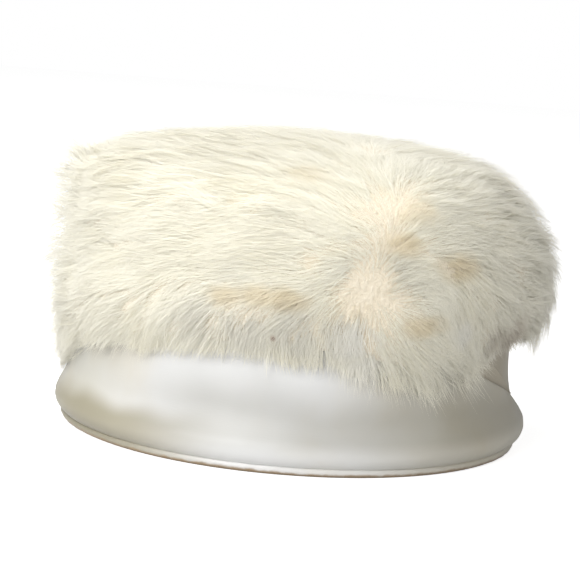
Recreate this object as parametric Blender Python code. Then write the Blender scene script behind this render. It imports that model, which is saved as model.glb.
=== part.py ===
"""Fur pillbox hat with a swathed satin band, at its real size.

The hat stands on the rolled rim of its head opening. +Z is up, the front faces -Y, and the
origin is the middle of the opening in the plane of the table. Lengths are in metres.
"""

import math
import random

import bmesh
import bpy
from mathutils import Vector

# Head opening: the oval that the head goes through, measured inside the hat
HEAD_WIDTH = 0.169
HEAD_DEPTH = 0.186

# Satin band: one layer all round, and a second layer swathed over it
BAND_HEIGHT = 0.048
BAND_FLARE = 0.0066
BAND_WIDEST = 0.185
BAND_END_LIFT = 0.0052
BAND_WALL = 0.0012
WRAP_WALL = 0.0012
FOLD_WALL = 0.0008
HEAD_EASE = 0.0004
SEAM_GAP = 0.0003
EDGE_STEP = 0.0004
WRAP_START = 91.0
WRAP_END = 384.0
FOLD_START = 311.0
FOLD_END = 345.0

# Rolled rim round the opening
ROLL_RADIUS = 0.0020
ROLL_OFFSET = 0.0045
ROLL_FOOT = 0.0016

# Crown: the skin side of the pelt, sewn into a cup whose edge is tucked just under the satin's top
CROWN_TUCK = 0.0010
CROWN_HEIGHT = 0.0500
CROWN_EDGE = BAND_HEIGHT - CROWN_TUCK
CROWN_RIM = CROWN_EDGE + CROWN_HEIGHT
CROWN_DOME = 0.0080
CROWN_WALL = 0.0018
CROWN_TAPER = 0.0070
SHOULDER_RADIUS = 0.0100

# Fur: depth of the pile, and its locks
PILE_DEPTH = 0.0160
HEM_THICKNESS = 0.0030
LOCK_WIDTH = 0.0145
LOCK_THICKNESS = 0.0046
LOCK_LENGTH = 0.0270
LOCK_RISE = 0.0023
LOCK_CLEARANCE = 0.0215

# Facets round the hat. Every piece uses the same angles, so neighbours lie parallel.
SIDES = 48

# Band profile from the rim up: height as a share of BAND_HEIGHT, swell as a share of BAND_FLARE
BAND_PROFILE = [
    {"height": 0.068, "swell": 0.50},
    {"height": 0.110, "swell": 0.88},
    {"height": 0.185, "swell": 1.00},
    {"height": 0.290, "swell": 0.72},
    {"height": 0.480, "swell": 0.20},
    {"height": 1.000, "swell": 0.04},
]

# Upper edges of the two visible layers where they slope down to the rim: height as a share of
# BAND_HEIGHT at an angle, straight in between and level beyond
LAP_EDGE = [
    {"angle": 309, "height": 0.967},
    {"angle": 319, "height": 0.767},
    {"angle": 329, "height": 0.644},
    {"angle": 343, "height": 0.500},
    {"angle": 366, "height": 0.214},
]
FOLD_EDGE = [
    {"angle": 316, "height": 0.967},
    {"angle": 324, "height": 0.865},
    {"angle": 330, "height": 0.765},
    {"angle": 338, "height": 0.630},
    {"angle": 345, "height": 0.525},
]

# Pile depth round the hat, as shares of PILE_DEPTH at seven places up the crown, and the hem's
# height as a share of BAND_HEIGHT. The angle runs anticlockwise from the hat's +X side.
PILE_SECTIONS = [
    {"angle": 0, "hem": 0.90, "edge": 0.32, "belly": 0.90, "side": 0.86, "high": 0.50, "corner": 0.45, "rim": 0.72},
    {"angle": 45, "hem": 0.84, "edge": 0.42, "belly": 0.75, "side": 0.74, "high": 0.55, "corner": 0.50, "rim": 0.68},
    {"angle": 90, "hem": 0.78, "edge": 0.42, "belly": 0.55, "side": 0.56, "high": 0.52, "corner": 0.50, "rim": 0.58},
    {"angle": 135, "hem": 0.68, "edge": 0.38, "belly": 0.46, "side": 0.52, "high": 0.56, "corner": 0.64, "rim": 0.62},
    {"angle": 180, "hem": 0.31, "edge": 0.34, "belly": 0.36, "side": 0.50, "high": 0.62, "corner": 0.84, "rim": 0.74},
    {"angle": 225, "hem": 0.74, "edge": 0.34, "belly": 0.44, "side": 0.50, "high": 0.58, "corner": 0.70, "rim": 0.66},
    {"angle": 262, "hem": 0.87, "edge": 0.34, "belly": 0.52, "side": 0.52, "high": 0.50, "corner": 0.50, "rim": 0.62},
    {"angle": 282, "hem": 0.84, "edge": 0.42, "belly": 0.60, "side": 0.62, "high": 0.55, "corner": 0.50, "rim": 0.66},
    {"angle": 297, "hem": 0.67, "edge": 0.54, "belly": 0.74, "side": 0.72, "high": 0.58, "corner": 0.50, "rim": 0.68},
    {"angle": 309, "hem": 0.70, "edge": 0.52, "belly": 0.80, "side": 0.78, "high": 0.56, "corner": 0.50, "rim": 0.70},
    {"angle": 323, "hem": 0.95, "edge": 0.42, "belly": 0.84, "side": 0.82, "high": 0.54, "corner": 0.48, "rim": 0.72},
]
PILE_STATIONS = {"edge": 0.0, "belly": 0.10, "side": 0.22, "high": 0.34, "corner": 0.41, "rim": 0.50}
PILE_TOP = 0.84

# Shares of the way up the crown: the side wall ends at the first, the shoulder at the second
WALL_SHARE = 0.34
SHOULDER_SHARE = 0.46

# Which way the hair is combed: a place on the crown, and the way the tips point there
COMBING = [
    {"angle": 205, "way_up": -0.02, "x": -0.3, "y": 0.1, "z": -1.0},
    {"angle": 208, "way_up": 0.32, "x": -1.0, "y": 0.2, "z": 0.0},
    {"angle": 240, "way_up": 0.10, "x": -0.7, "y": 0.0, "z": -0.7},
    {"angle": 240, "way_up": 0.34, "x": -1.0, "y": 0.0, "z": -0.05},
    {"angle": 265, "way_up": 0.00, "x": -0.1, "y": 0.0, "z": -1.0},
    {"angle": 265, "way_up": 0.13, "x": -0.9, "y": 0.0, "z": -0.55},
    {"angle": 270, "way_up": 0.32, "x": -1.0, "y": 0.0, "z": 0.1},
    {"angle": 280, "way_up": 0.20, "x": -1.0, "y": 0.0, "z": 0.35},
    {"angle": 287, "way_up": 0.10, "x": 0.0, "y": 0.0, "z": -1.0},
    {"angle": 293, "way_up": 0.24, "x": 0.9, "y": 0.2, "z": 0.35},
    {"angle": 284, "way_up": 0.00, "x": 0.2, "y": 0.0, "z": -1.0},
    {"angle": 300, "way_up": 0.02, "x": 0.5, "y": 0.2, "z": -1.0},
    {"angle": 308, "way_up": 0.26, "x": 0.5, "y": 0.3, "z": -0.8},
    {"angle": 340, "way_up": 0.20, "x": 0.3, "y": 0.3, "z": -0.8},
    {"angle": 0, "way_up": 0.36, "x": 0.7, "y": 0.1, "z": -0.5},
    {"angle": 0, "way_up": 0.06, "x": 0.1, "y": 0.1, "z": -1.0},
    {"angle": 292, "way_up": 0.46, "x": 0.4, "y": -0.2, "z": 0.4},
    {"angle": 200, "way_up": 0.70, "x": -1.0, "y": 0.1, "z": 0.0},
    {"angle": 250, "way_up": 0.70, "x": -1.0, "y": 0.0, "z": 0.0},
    {"angle": 320, "way_up": 0.60, "x": 1.0, "y": 0.1, "z": 0.0},
    {"angle": 30, "way_up": 0.60, "x": 0.9, "y": 0.4, "z": 0.0},
    {"angle": 100, "way_up": 0.60, "x": -0.2, "y": 1.0, "z": 0.0},
    {"angle": 90, "way_up": 0.30, "x": 0.0, "y": 0.3, "z": -1.0},
    {"angle": 150, "way_up": 0.20, "x": -0.3, "y": 0.1, "z": -1.0},
    {"angle": 90, "way_up": 0.00, "x": 0.0, "y": 0.0, "z": -1.0},
]

# Rows of locks from the hem to the top: where their roots lie, how many, and their size as
# shares of LOCK_LENGTH and LOCK_WIDTH
LOCK_ROWS = [
    {"way_up": 0.04, "count": 28, "length": 0.65, "width": 0.85},
    {"way_up": 0.14, "count": 21, "length": 1.00, "width": 1.00},
    {"way_up": 0.27, "count": 18, "length": 1.00, "width": 1.10},
    {"way_up": 0.41, "count": 14, "length": 1.00, "width": 1.15},
    {"way_up": 0.60, "count": 8, "length": 1.05, "width": 1.20},
    {"way_up": 0.82, "count": 4, "length": 1.05, "width": 1.25},
]

# Along a lock: how wide and thick it is, and how far it stands off the pile
LOCK_SHAPE = [
    {"along": 0.00, "width": 0.60, "thickness": 0.60, "rise": -0.9},
    {"along": 0.35, "width": 1.00, "thickness": 1.00, "rise": 0.0},
    {"along": 0.70, "width": 0.75, "thickness": 0.70, "rise": 0.6},
    {"along": 1.00, "width": 0.00, "thickness": 0.00, "rise": 1.0},
]


def smooth_step(share):
    return share * share * (3 - 2 * share)


def oval_radius(angle):
    """Radius of the head opening in this direction."""
    half_width = HEAD_WIDTH / 2
    half_depth = HEAD_DEPTH / 2
    return half_width * half_depth / math.hypot(
        half_depth * math.cos(angle), half_width * math.sin(angle)
    )


def round_point(angle, radius, height):
    return Vector((radius * math.cos(angle), radius * math.sin(angle), height))


def from_table(rows, key, angle_degrees):
    """A column of a table, eased between the rows on each side of the angle."""
    angle_degrees %= 360
    for index, row in enumerate(rows):
        following = rows[(index + 1) % len(rows)]
        span = (following["angle"] - row["angle"]) % 360
        past = (angle_degrees - row["angle"]) % 360
        if past < span:
            share = smooth_step(past / span)
            return row[key] * (1 - share) + following[key] * share
    return rows[0][key]


def new_object(name, bm, colour, roughness, metallic=0.0):
    """Turns a bmesh into a named, smooth-shaded object with a material of its own."""
    bmesh.ops.triangulate(bm, faces=bm.faces)
    bmesh.ops.recalc_face_normals(bm, faces=bm.faces)
    mesh = bpy.data.meshes.new(name)
    bm.to_mesh(mesh)
    bm.free()
    mesh.shade_smooth()
    mesh.set_sharp_from_angle(angle=math.radians(50))
    obj = bpy.data.objects.new(name, mesh)
    bpy.context.scene.collection.objects.link(obj)
    material = bpy.data.materials.new(name)
    material.use_nodes = True
    shader = material.node_tree.nodes["Principled BSDF"]
    shader.inputs["Base Color"].default_value = (*colour, 1.0)
    shader.inputs["Roughness"].default_value = roughness
    shader.inputs["Metallic"].default_value = metallic
    mesh.materials.append(material)
    return obj


def join_loops(bm, first, second):
    """Triangles between two rings of vertices.

    The diagonals all climb the same way round, so that nested layers stay parallel.
    """
    for index in range(len(first)):
        after = (index + 1) % len(first)
        if first[index].co.z > second[index].co.z:
            bm.faces.new((first[index], first[after], second[index]))
            bm.faces.new((first[after], second[after], second[index]))
        else:
            bm.faces.new((first[index], first[after], second[after]))
            bm.faces.new((first[index], second[after], second[index]))


def fan(bm, ring, tip):
    for index in range(len(ring)):
        bm.faces.new((ring[index], ring[(index + 1) % len(ring)], tip))


def full_ring(sections):
    """A closed section carried all the way round."""
    bm = bmesh.new()
    loops = [[bm.verts.new(point) for point in section] for section in sections]
    for index, loop in enumerate(loops):
        join_loops(bm, loop, loops[(index + 1) % len(loops)])
    return bm


def part_ring(sections):
    """A closed section carried part of the way round, with a cap at each end."""
    bm = bmesh.new()
    loops = [[bm.verts.new(point) for point in section] for section in sections]
    for loop, following in zip(loops, loops[1:]):
        join_loops(bm, loop, following)
    bm.faces.new(loops[0])
    bm.faces.new(reversed(loops[-1]))
    return bm


def cup(rings, outer_pole, inner_pole):
    """Rings from the outer pole down, round the lip and up inside to the inner pole."""
    bm = bmesh.new()
    loops = [[bm.verts.new(point) for point in ring] for ring in rings]
    for loop, following in zip(loops, loops[1:]):
        join_loops(bm, loop, following)
    fan(bm, loops[0], bm.verts.new(outer_pole))
    fan(bm, loops[-1], bm.verts.new(inner_pole))
    return bm


def ring_angles():
    return [math.tau * index / SIDES for index in range(SIDES)]


def angles_between(start_degrees, end_degrees):
    """The common facet angles that lie between two angles, with the two ends."""
    step = 360 / SIDES
    first = math.ceil(start_degrees / step + 0.2)
    last = math.floor(end_degrees / step - 0.2)
    inner = [step * index for index in range(first, last + 1)]
    return [math.radians(a) for a in [start_degrees, *inner, end_degrees]]


def swell_share(row, angle):
    """Above its widest place the band draws in sooner on the -X side, where it hugs the head."""
    if row["height"] <= BAND_WIDEST:
        return row["swell"]
    tightness = 1 + 0.6 * max(0.0, -math.cos(angle))
    return row["swell"] ** tightness


def neck_offset():
    """From the head opening out to the swathed layer's outer face at the neck."""
    return HEAD_EASE + BAND_WALL + SEAM_GAP + WRAP_WALL


def wrap_profile(angle):
    """Outer face of the swathed layer in one direction: (radius, height) from the rim up."""
    base = oval_radius(angle) + neck_offset()
    return [
        (base + BAND_FLARE * swell_share(row, angle), BAND_HEIGHT * row["height"])
        for row in BAND_PROFILE
    ]


def radius_at(profile, height):
    """Radius of a profile at a height, on the straight lines between its points."""
    if height <= profile[0][1]:
        return profile[0][0]
    for (radius_a, height_a), (radius_b, height_b) in zip(profile, profile[1:]):
        if height <= height_b:
            share = (height - height_a) / (height_b - height_a)
            return radius_a + (radius_b - radius_a) * share
    return profile[-1][0]


def wrap_radius(angle, height):
    """Radius of the swathed layer's outer face at a height."""
    return radius_at(wrap_profile(angle), height)


def moved_inwards(profile, distance):
    """The same profile, moved towards the head by a distance square to itself."""
    moved = []
    for index, (radius, height) in enumerate(profile):
        before = profile[max(index - 1, 0)]
        after = profile[min(index + 1, len(profile) - 1)]
        run = (after[0] - before[0], after[1] - before[1])
        length = math.hypot(*run)
        moved.append((radius - run[1] / length * distance, height + run[0] / length * distance))
    return moved


def cut_off(profile, top):
    """A profile that ends at a height, its upper points packed under the edge."""
    count = len(profile)
    heights = [min(row[1], top - (count - 1 - index) * EDGE_STEP) for index, row in enumerate(profile)]
    return [(radius_at(profile, height), height) for height in heights]


def cut_above(profile, bottom):
    """A profile that starts at a height, its lower points packed over the edge."""
    heights = [max(row[1], bottom + index * EDGE_STEP) for index, row in enumerate(profile)]
    return [(radius_at(profile, height), height) for height in heights]


def wall_section(angle, outer, thickness):
    """A closed section: the outer face, and the inner face back down."""
    inner = moved_inwards(outer, thickness)
    return [round_point(angle, r, z) for r, z in outer + inner[::-1]]


def build_band():
    """The under layer of satin, all the way round the head opening."""
    sections = []
    for angle in ring_angles():
        face = moved_inwards(wrap_profile(angle), WRAP_WALL + SEAM_GAP)
        face = cut_above(face, BAND_END_LIFT)
        sections.append(wall_section(angle, face, BAND_WALL))
    return new_object("satin_band", full_ring(sections), (0.80, 0.77, 0.70), 0.35)


def edge_in_table(rows, angle_degrees):
    """Height of a sloping edge from its table."""
    if angle_degrees <= rows[0]["angle"]:
        return BAND_HEIGHT * rows[0]["height"]
    for row, following in zip(rows, rows[1:]):
        if angle_degrees <= following["angle"]:
            share = (angle_degrees - row["angle"]) / (following["angle"] - row["angle"])
            return BAND_HEIGHT * (row["height"] * (1 - share) + following["height"] * share)
    return BAND_HEIGHT * rows[-1]["height"]


def edge_height(rows, angle_degrees):
    """Height of a sloping edge, running straight between the common facet angles."""
    step = 360 / SIDES
    facet = math.floor(angle_degrees / step + 1e-6) * step
    share = (angle_degrees - facet) / step
    return edge_in_table(rows, facet) * (1 - share) + edge_in_table(rows, facet + step) * share


def build_wrap():
    """The outer layer of satin, swathed round the front and lapped down across the +X side."""
    sections = []
    for angle in angles_between(WRAP_START, WRAP_END):
        face = cut_off(wrap_profile(angle), edge_height(LAP_EDGE, math.degrees(angle)))
        sections.append(wall_section(angle, face, WRAP_WALL))
    return new_object("satin_wrap", part_ring(sections), (0.86, 0.84, 0.80), 0.30)


def build_fold():
    """A tuck of the under layer that shows above the lapped edge and tapers out under it."""
    sections = []
    rows = 4
    for angle in angles_between(FOLD_START, FOLD_END):
        bottom = edge_height(LAP_EDGE, math.degrees(angle)) + 2 * SEAM_GAP
        top = max(edge_height(FOLD_EDGE, math.degrees(angle)), bottom + FOLD_WALL)
        profile = moved_inwards(wrap_profile(angle), WRAP_WALL - FOLD_WALL)
        heights = [bottom + (top - bottom) * index / (rows - 1) for index in range(rows)]
        face = [(radius_at(profile, height), height) for height in heights]
        sections.append(wall_section(angle, face, FOLD_WALL))
    return new_object("satin_fold", part_ring(sections), (0.74, 0.71, 0.64), 0.35)


def build_roll():
    """The corded rim that the hat stands on: round, with a flat worn foot underneath."""
    sections = []
    half_foot = ROLL_FOOT / 2
    lowest = -math.sqrt(ROLL_RADIUS**2 - half_foot**2)
    start = math.atan2(lowest, half_foot)
    turns = 7
    for angle in ring_angles():
        centre = oval_radius(angle) + ROLL_OFFSET
        section = []
        for index in range(turns):
            around = start + (math.pi - 2 * start) * index / (turns - 1)
            section.append((centre + ROLL_RADIUS * math.cos(around), ROLL_RADIUS * math.sin(around) - lowest))
        sections.append([round_point(angle, r, z) for r, z in section])
    return new_object("rim_roll", full_ring(sections), (0.83, 0.79, 0.70), 0.45)


def skin_station(angle, way_up):
    """Outer face of the pelt's skin: (radius, height) and the way it faces there."""
    edge_radius = oval_radius(angle) + neck_offset() + SEAM_GAP + CROWN_WALL
    lean = math.atan2(CROWN_TAPER, CROWN_RIM - SHOULDER_RADIUS - CROWN_EDGE)
    centre = (
        edge_radius - CROWN_TAPER - SHOULDER_RADIUS * math.cos(lean),
        CROWN_RIM - SHOULDER_RADIUS,
    )
    wall_top = (
        centre[0] + SHOULDER_RADIUS * math.cos(lean),
        centre[1] + SHOULDER_RADIUS * math.sin(lean),
    )
    steepest = math.atan2(1.0, 2 * CROWN_DOME / centre[0])
    if way_up <= WALL_SHARE:
        share = max(0.0, way_up) / WALL_SHARE
        place = (
            edge_radius + (wall_top[0] - edge_radius) * share,
            CROWN_EDGE + (wall_top[1] - CROWN_EDGE) * share,
        )
        facing = lean
    elif way_up <= SHOULDER_SHARE:
        share = (way_up - WALL_SHARE) / (SHOULDER_SHARE - WALL_SHARE)
        facing = lean + (steepest - lean) * share
        place = (
            centre[0] + SHOULDER_RADIUS * math.cos(facing),
            centre[1] + SHOULDER_RADIUS * math.sin(facing),
        )
    else:
        share = (way_up - SHOULDER_SHARE) / (1 - SHOULDER_SHARE)
        rim_radius = centre[0] + SHOULDER_RADIUS * math.cos(steepest)
        rim_height = centre[1] + SHOULDER_RADIUS * math.sin(steepest)
        out = 1 - share
        place = (rim_radius * out, rim_height + CROWN_DOME * (1 - out * out))
        facing = math.atan2(1.0, 2 * CROWN_DOME * out / rim_radius)
    return place, (math.cos(facing), math.sin(facing))


def off_skin(angle, way_up, distance):
    """(radius, height) at a distance off the skin's outer face."""
    (radius, height), (out, up) = skin_station(angle, way_up)
    return max(0.0, radius + out * distance), height + up * distance


CROWN_STATIONS = [0.0, WALL_SHARE, 0.40, SHOULDER_SHARE, 0.72]


def build_crown():
    """The skin of the pelt, sewn into a cup that carries the fur."""
    rings = []
    for way_up in reversed(CROWN_STATIONS):
        rings.append([round_point(a, *off_skin(a, way_up, 0.0)) for a in ring_angles()])
    for way_up in CROWN_STATIONS:
        rings.append([round_point(a, *off_skin(a, way_up, -CROWN_WALL)) for a in ring_angles()])
    top = off_skin(0.0, 1.0, 0.0)[1]
    bm = cup(rings, Vector((0, 0, top)), Vector((0, 0, top - CROWN_WALL)))
    return new_object("crown_skin", bm, (0.72, 0.66, 0.54), 0.80)


def pile_depth(angle, way_up):
    """Depth of the fur off the skin."""
    degrees = math.degrees(angle)
    stations = list(PILE_STATIONS.items())
    for (key_a, at_a), (key_b, at_b) in zip(stations, stations[1:]):
        if way_up <= at_b:
            share = smooth_step(max(0.0, way_up - at_a) / (at_b - at_a))
            depth_a = from_table(PILE_SECTIONS, key_a, degrees)
            depth_b = from_table(PILE_SECTIONS, key_b, degrees)
            return PILE_DEPTH * (depth_a * (1 - share) + depth_b * share)
    last_key, last_at = stations[-1]
    share = smooth_step((way_up - last_at) / (1 - last_at))
    depth = from_table(PILE_SECTIONS, last_key, degrees)
    return PILE_DEPTH * (depth * (1 - share) + PILE_TOP * share)


def hem_height(angle):
    return BAND_HEIGHT * from_table(PILE_SECTIONS, "hem", math.degrees(angle))


def pile_station(angle, way_up):
    """Outer face of the fur: (radius, height). Below 0 it hangs over the satin, with -1 its hem."""
    if way_up >= 0:
        return off_skin(angle, way_up, pile_depth(angle, way_up))
    down = min(1.0, -way_up)
    edge_radius, edge_height = off_skin(angle, 0.0, pile_depth(angle, 0.0))
    height = edge_height + (hem_height(angle) - edge_height) * down
    hem_radius = wrap_radius(angle, height) + SEAM_GAP + HEM_THICKNESS
    eased = smooth_step(down)
    return edge_radius + (hem_radius - edge_radius) * eased, height


def pile_surface(angle, way_up):
    """A point on the fur's outer face and the direction it faces."""
    step = 0.01
    low = pile_station(angle, max(-1.0, way_up - step))
    high = pile_station(angle, min(0.999, way_up + step))
    out, up = high[1] - low[1], low[0] - high[0]
    length = max(math.hypot(out, up), 1e-9)
    facing = round_point(angle, out / length, up / length)
    return round_point(angle, *pile_station(angle, way_up)), facing


def nearest_way_up(angle, point):
    """How far up the fur's outer face the place nearest to a point lies."""
    radius = math.hypot(point.x, point.y)
    samples = [-1 + 2 * index / 80 for index in range(81)]
    return min(samples, key=lambda s: math.dist(pile_station(angle, s), (radius, point.z)))


def combing_points():
    """The combing table as places in space and unit directions."""
    found = []
    for row in COMBING:
        angle = math.radians(row["angle"])
        place, _ = pile_surface(angle, row["way_up"])
        found.append((place, Vector((row["x"], row["y"], row["z"])).normalized()))
    return found


def combed(point, facing, guides):
    """The way the hair lies at a point: the guides near it, laid along the surface."""
    total = Vector((0, 0, 0))
    for place, direction in guides:
        nearness = 1 / ((point - place).length_squared + 1e-5) ** 2
        total += direction * nearness
    total.normalize()
    total -= facing * total.dot(facing)
    return total.normalized()


def lock_path(angle, way_up, length, guides):
    """Centre line of a lock as (point, facing, direction) at each row of LOCK_SHAPE."""
    point, facing = pile_surface(angle, way_up)
    direction = combed(point, facing, guides)
    path = []
    travelled = 0.0
    for row in LOCK_SHAPE:
        ahead = row["along"] * length - travelled
        travelled = row["along"] * length
        point = point + direction * ahead
        angle = math.atan2(point.y, point.x)
        way_up = nearest_way_up(angle, point)
        on_face, facing = pile_surface(angle, way_up)
        if point.z < on_face.z - 0.001 and way_up <= -0.95:
            over_satin = wrap_radius(angle, point.z) + 2 * SEAM_GAP + LOCK_THICKNESS / 2
            point = round_point(angle, over_satin, point.z)
        else:
            point = on_face
        path.append((point, facing, direction))
        direction = combed(point, facing, guides)
    return path


def add_lock(bm, path, width):
    """A flat, pointed tuft along a path, with four corners to its section."""
    loops = []
    for row, (point, facing, direction) in zip(LOCK_SHAPE, path):
        centre = point + facing * (row["rise"] * LOCK_RISE)
        if row["width"] == 0:
            tip = bm.verts.new(centre)
            break
        across = facing.cross(direction).normalized() * (width * row["width"] / 2)
        through = facing * (LOCK_THICKNESS * row["thickness"] / 2)
        corners = (centre + across, centre + through, centre - across, centre - through)
        loops.append([bm.verts.new(corner) for corner in corners])
    for loop, following in zip(loops, loops[1:]):
        join_loops(bm, loop, following)
    fan(bm, loops[-1], tip)
    bm.faces.new(reversed(loops[0]))


def clear_of(path, others):
    """True where a lock stays a lock's width away from every other lock in a group."""
    points = [point for point, _, _ in path]
    points += [(a + b) / 2 for a, b in zip(points, points[1:])]
    for other in others:
        for point in points:
            for near, _, _ in other:
                if (point - near).length < LOCK_CLEARANCE:
                    return False
    return True


def build_locks():
    """The locks as helper meshes, which the pile is fused with one after another.

    The locks are dealt out so that no two in one helper touch.
    """
    chance = random.Random(7)
    guides = combing_points()
    groups = []
    for row_index, row in enumerate(LOCK_ROWS):
        for index in range(row["count"]):
            share = (index + 0.5 * (row_index % 2) + chance.uniform(-0.2, 0.2)) / row["count"]
            way_up = row["way_up"] + chance.uniform(-0.02, 0.02)
            length = LOCK_LENGTH * row["length"] * chance.uniform(0.85, 1.15)
            width = LOCK_WIDTH * row["width"] * chance.uniform(0.85, 1.15)
            path = lock_path(math.tau * share, way_up, length, guides)
            group = next((g for g in groups if clear_of(path, g["paths"])), None)
            if group is None:
                group = {"paths": [], "mesh": bmesh.new()}
                groups.append(group)
            group["paths"].append(path)
            add_lock(group["mesh"], path, width)
    helpers = []
    for number, group in enumerate(groups):
        locks = new_object(f"locks_{number}", group["mesh"], (0.9, 0.87, 0.78), 0.8)
        locks.hide_render = True
        locks.display_type = "WIRE"
        helpers.append(locks)
    return helpers


def build_fur():
    """The deep pile: a backing that follows the crown and hangs over the satin, with its locks."""
    outside = [0.80, 0.60, 0.48, 0.41, 0.34, 0.25, 0.16, 0.08, 0.0, -0.50, -1.0]
    rings = []
    for way_up in outside:
        rings.append([round_point(a, *pile_station(a, way_up)) for a in ring_angles()])
    skirt_top = CROWN_EDGE - 2.5 * SEAM_GAP
    for down in (1.0, 0.5, 0.0):
        ring = []
        for angle in ring_angles():
            height = skirt_top + (hem_height(angle) - skirt_top) * down
            ring.append(round_point(angle, wrap_radius(angle, height) + SEAM_GAP, height))
        rings.append(ring)
    under_edge = []
    for angle in ring_angles():
        under_edge.append(round_point(angle, off_skin(angle, 0.0, SEAM_GAP)[0], skirt_top + SEAM_GAP / 2))
    rings.append(under_edge)
    for way_up in CROWN_STATIONS:
        rings.append([round_point(a, *off_skin(a, way_up, SEAM_GAP)) for a in ring_angles()])
    skin_top = off_skin(0.0, 1.0, 0.0)[1]
    poles = [Vector((0, 0, skin_top + PILE_DEPTH * PILE_TOP)), Vector((0, 0, skin_top + SEAM_GAP))]
    fur = new_object("fur_pile", cup(rings, *poles), (0.90, 0.87, 0.78), 0.85)
    for helper in build_locks():
        fuse = fur.modifiers.new("fuse_" + helper.name, "BOOLEAN")
        fuse.operation = "UNION"
        fuse.solver = "EXACT"
        fuse.object = helper
    return fur


def main():
    for obj in list(bpy.data.objects):
        bpy.data.objects.remove(obj)
    build_roll()
    build_band()
    build_wrap()
    build_fold()
    build_crown()
    build_fur()


main()
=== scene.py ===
# %% [markdown]
# # A pillbox hat of deep cream fur with a swathed satin band
#
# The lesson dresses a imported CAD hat. The CAD gives the solids: a corded rim, two layers of
# satin, the skin of the pelt and a solid block for the fur. Here they get their looks. The satin
# is lofted again, finer and with its wrinkles. The fur is combed out hair by hair with Geometry
# Nodes: a surface carries the combing as attributes, and one node tree grows every hair on it.

# %% Load the frame
import math

import bmesh
import bpy
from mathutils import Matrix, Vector, noise
from mathutils.bvhtree import BVHTree


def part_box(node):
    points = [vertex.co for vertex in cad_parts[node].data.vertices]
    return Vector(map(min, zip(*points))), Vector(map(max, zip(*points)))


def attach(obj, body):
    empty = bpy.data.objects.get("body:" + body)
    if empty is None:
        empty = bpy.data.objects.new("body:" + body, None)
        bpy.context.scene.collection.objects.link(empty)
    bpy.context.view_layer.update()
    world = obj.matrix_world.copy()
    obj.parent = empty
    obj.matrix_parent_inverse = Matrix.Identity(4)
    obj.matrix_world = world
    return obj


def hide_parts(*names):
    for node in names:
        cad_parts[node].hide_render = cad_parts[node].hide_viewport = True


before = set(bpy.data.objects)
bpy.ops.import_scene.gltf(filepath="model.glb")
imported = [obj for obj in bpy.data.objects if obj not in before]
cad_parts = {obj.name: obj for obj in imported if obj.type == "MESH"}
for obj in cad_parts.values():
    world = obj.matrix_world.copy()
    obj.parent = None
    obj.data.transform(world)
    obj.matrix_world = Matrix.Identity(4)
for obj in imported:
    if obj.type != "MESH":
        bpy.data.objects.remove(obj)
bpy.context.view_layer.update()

MM = 0.001
print("CAD nodes:", ", ".join(sorted(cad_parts)))

# %% [markdown]
# ## The camera
#
# The photograph was taken from a little above the hat with a long lens, held slightly askew, so
# the rim runs downhill to the right. A camera on the front side of the hat, turned about its own
# line of sight, gives the same view. A lens this long keeps the near and far edges almost the
# same size, as in the photograph.

# %% Camera
CAMERA_PLACE = Vector((0.0, -0.8913, 0.1745))
CAMERA_AIM = Vector((-0.0029, 0.0, 0.0540))
CAMERA_LENS = 139.45
CAMERA_ROLL = math.radians(4.47)

camera_data = bpy.data.cameras.new("camera")
camera_data.lens = CAMERA_LENS
camera_data.sensor_width = 36
camera = bpy.data.objects.new("camera", camera_data)
looking = (CAMERA_AIM - CAMERA_PLACE).to_track_quat("-Z", "Y").to_matrix().to_4x4()
camera.matrix_world = looking
camera.rotation_euler = looking.to_euler()
camera.rotation_euler.rotate_axis("Z", CAMERA_ROLL)
camera.location = CAMERA_PLACE
bpy.context.scene.collection.objects.link(camera)
bpy.context.scene.camera = camera
print("camera", round((CAMERA_AIM - CAMERA_PLACE).length, 3), "m from the hat")

# %% [markdown]
# ## Helpers for node trees
#
# A node tree built in code reads best as a list of calls, one for each node. One helper makes a
# node, sets its choices, and fills its sockets with numbers or links. The others are the handful
# of steps that every finish here is made of: sums, mixed colours, eased ramps, noise and bumps.

# %% Node helpers
def add_node(tree, kind, inputs=None, **choices):
    """Adds a node. inputs maps a socket's name or number to a value or to another socket."""
    node = tree.nodes.new(kind)
    for key, value in choices.items():
        setattr(node, key, value)
    for key, value in (inputs or {}).items():
        socket = node.inputs[key]
        if isinstance(value, bpy.types.NodeSocket):
            tree.links.new(value, socket)
        else:
            socket.default_value = value
    return node


def new_material(name):
    """A material with an empty tree, its Principled shader and that shader's output link."""
    material = bpy.data.materials.new(name)
    material.use_nodes = True
    tree = material.node_tree
    tree.nodes.clear()
    shader = add_node(tree, "ShaderNodeBsdfPrincipled")
    add_node(tree, "ShaderNodeOutputMaterial", {"Surface": shader.outputs["BSDF"]})
    return material, tree, shader


def mix_colours(tree, share, first, second, blend="MIX"):
    """A colour that goes from the first to the second as share goes from 0 to 1."""
    node = add_node(tree, "ShaderNodeMix", data_type="RGBA", blend_type=blend)
    for key, value in ((0, share), (6, first), (7, second)):
        if isinstance(value, bpy.types.NodeSocket):
            tree.links.new(value, node.inputs[key])
        elif key == 0:
            node.inputs[key].default_value = value
        else:
            node.inputs[key].default_value = (*value, 1.0)
    return node.outputs[2]


def ramp(tree, value, low, high, at_low=0.0, at_high=1.0):
    """at_low below low, at_high above high and eased in between."""
    ends = {0: value, 1: low, 2: high, 3: at_low, 4: at_high}
    return add_node(tree, "ShaderNodeMapRange", ends, interpolation_type="SMOOTHSTEP").outputs[0]


def math_node(tree, operation, *values):
    return add_node(tree, "ShaderNodeMath", dict(enumerate(values)), operation=operation).outputs[0]


def apart(tree, vector):
    """A vector's X, Y and Z."""
    return add_node(tree, "ShaderNodeSeparateXYZ", {0: vector}).outputs


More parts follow.
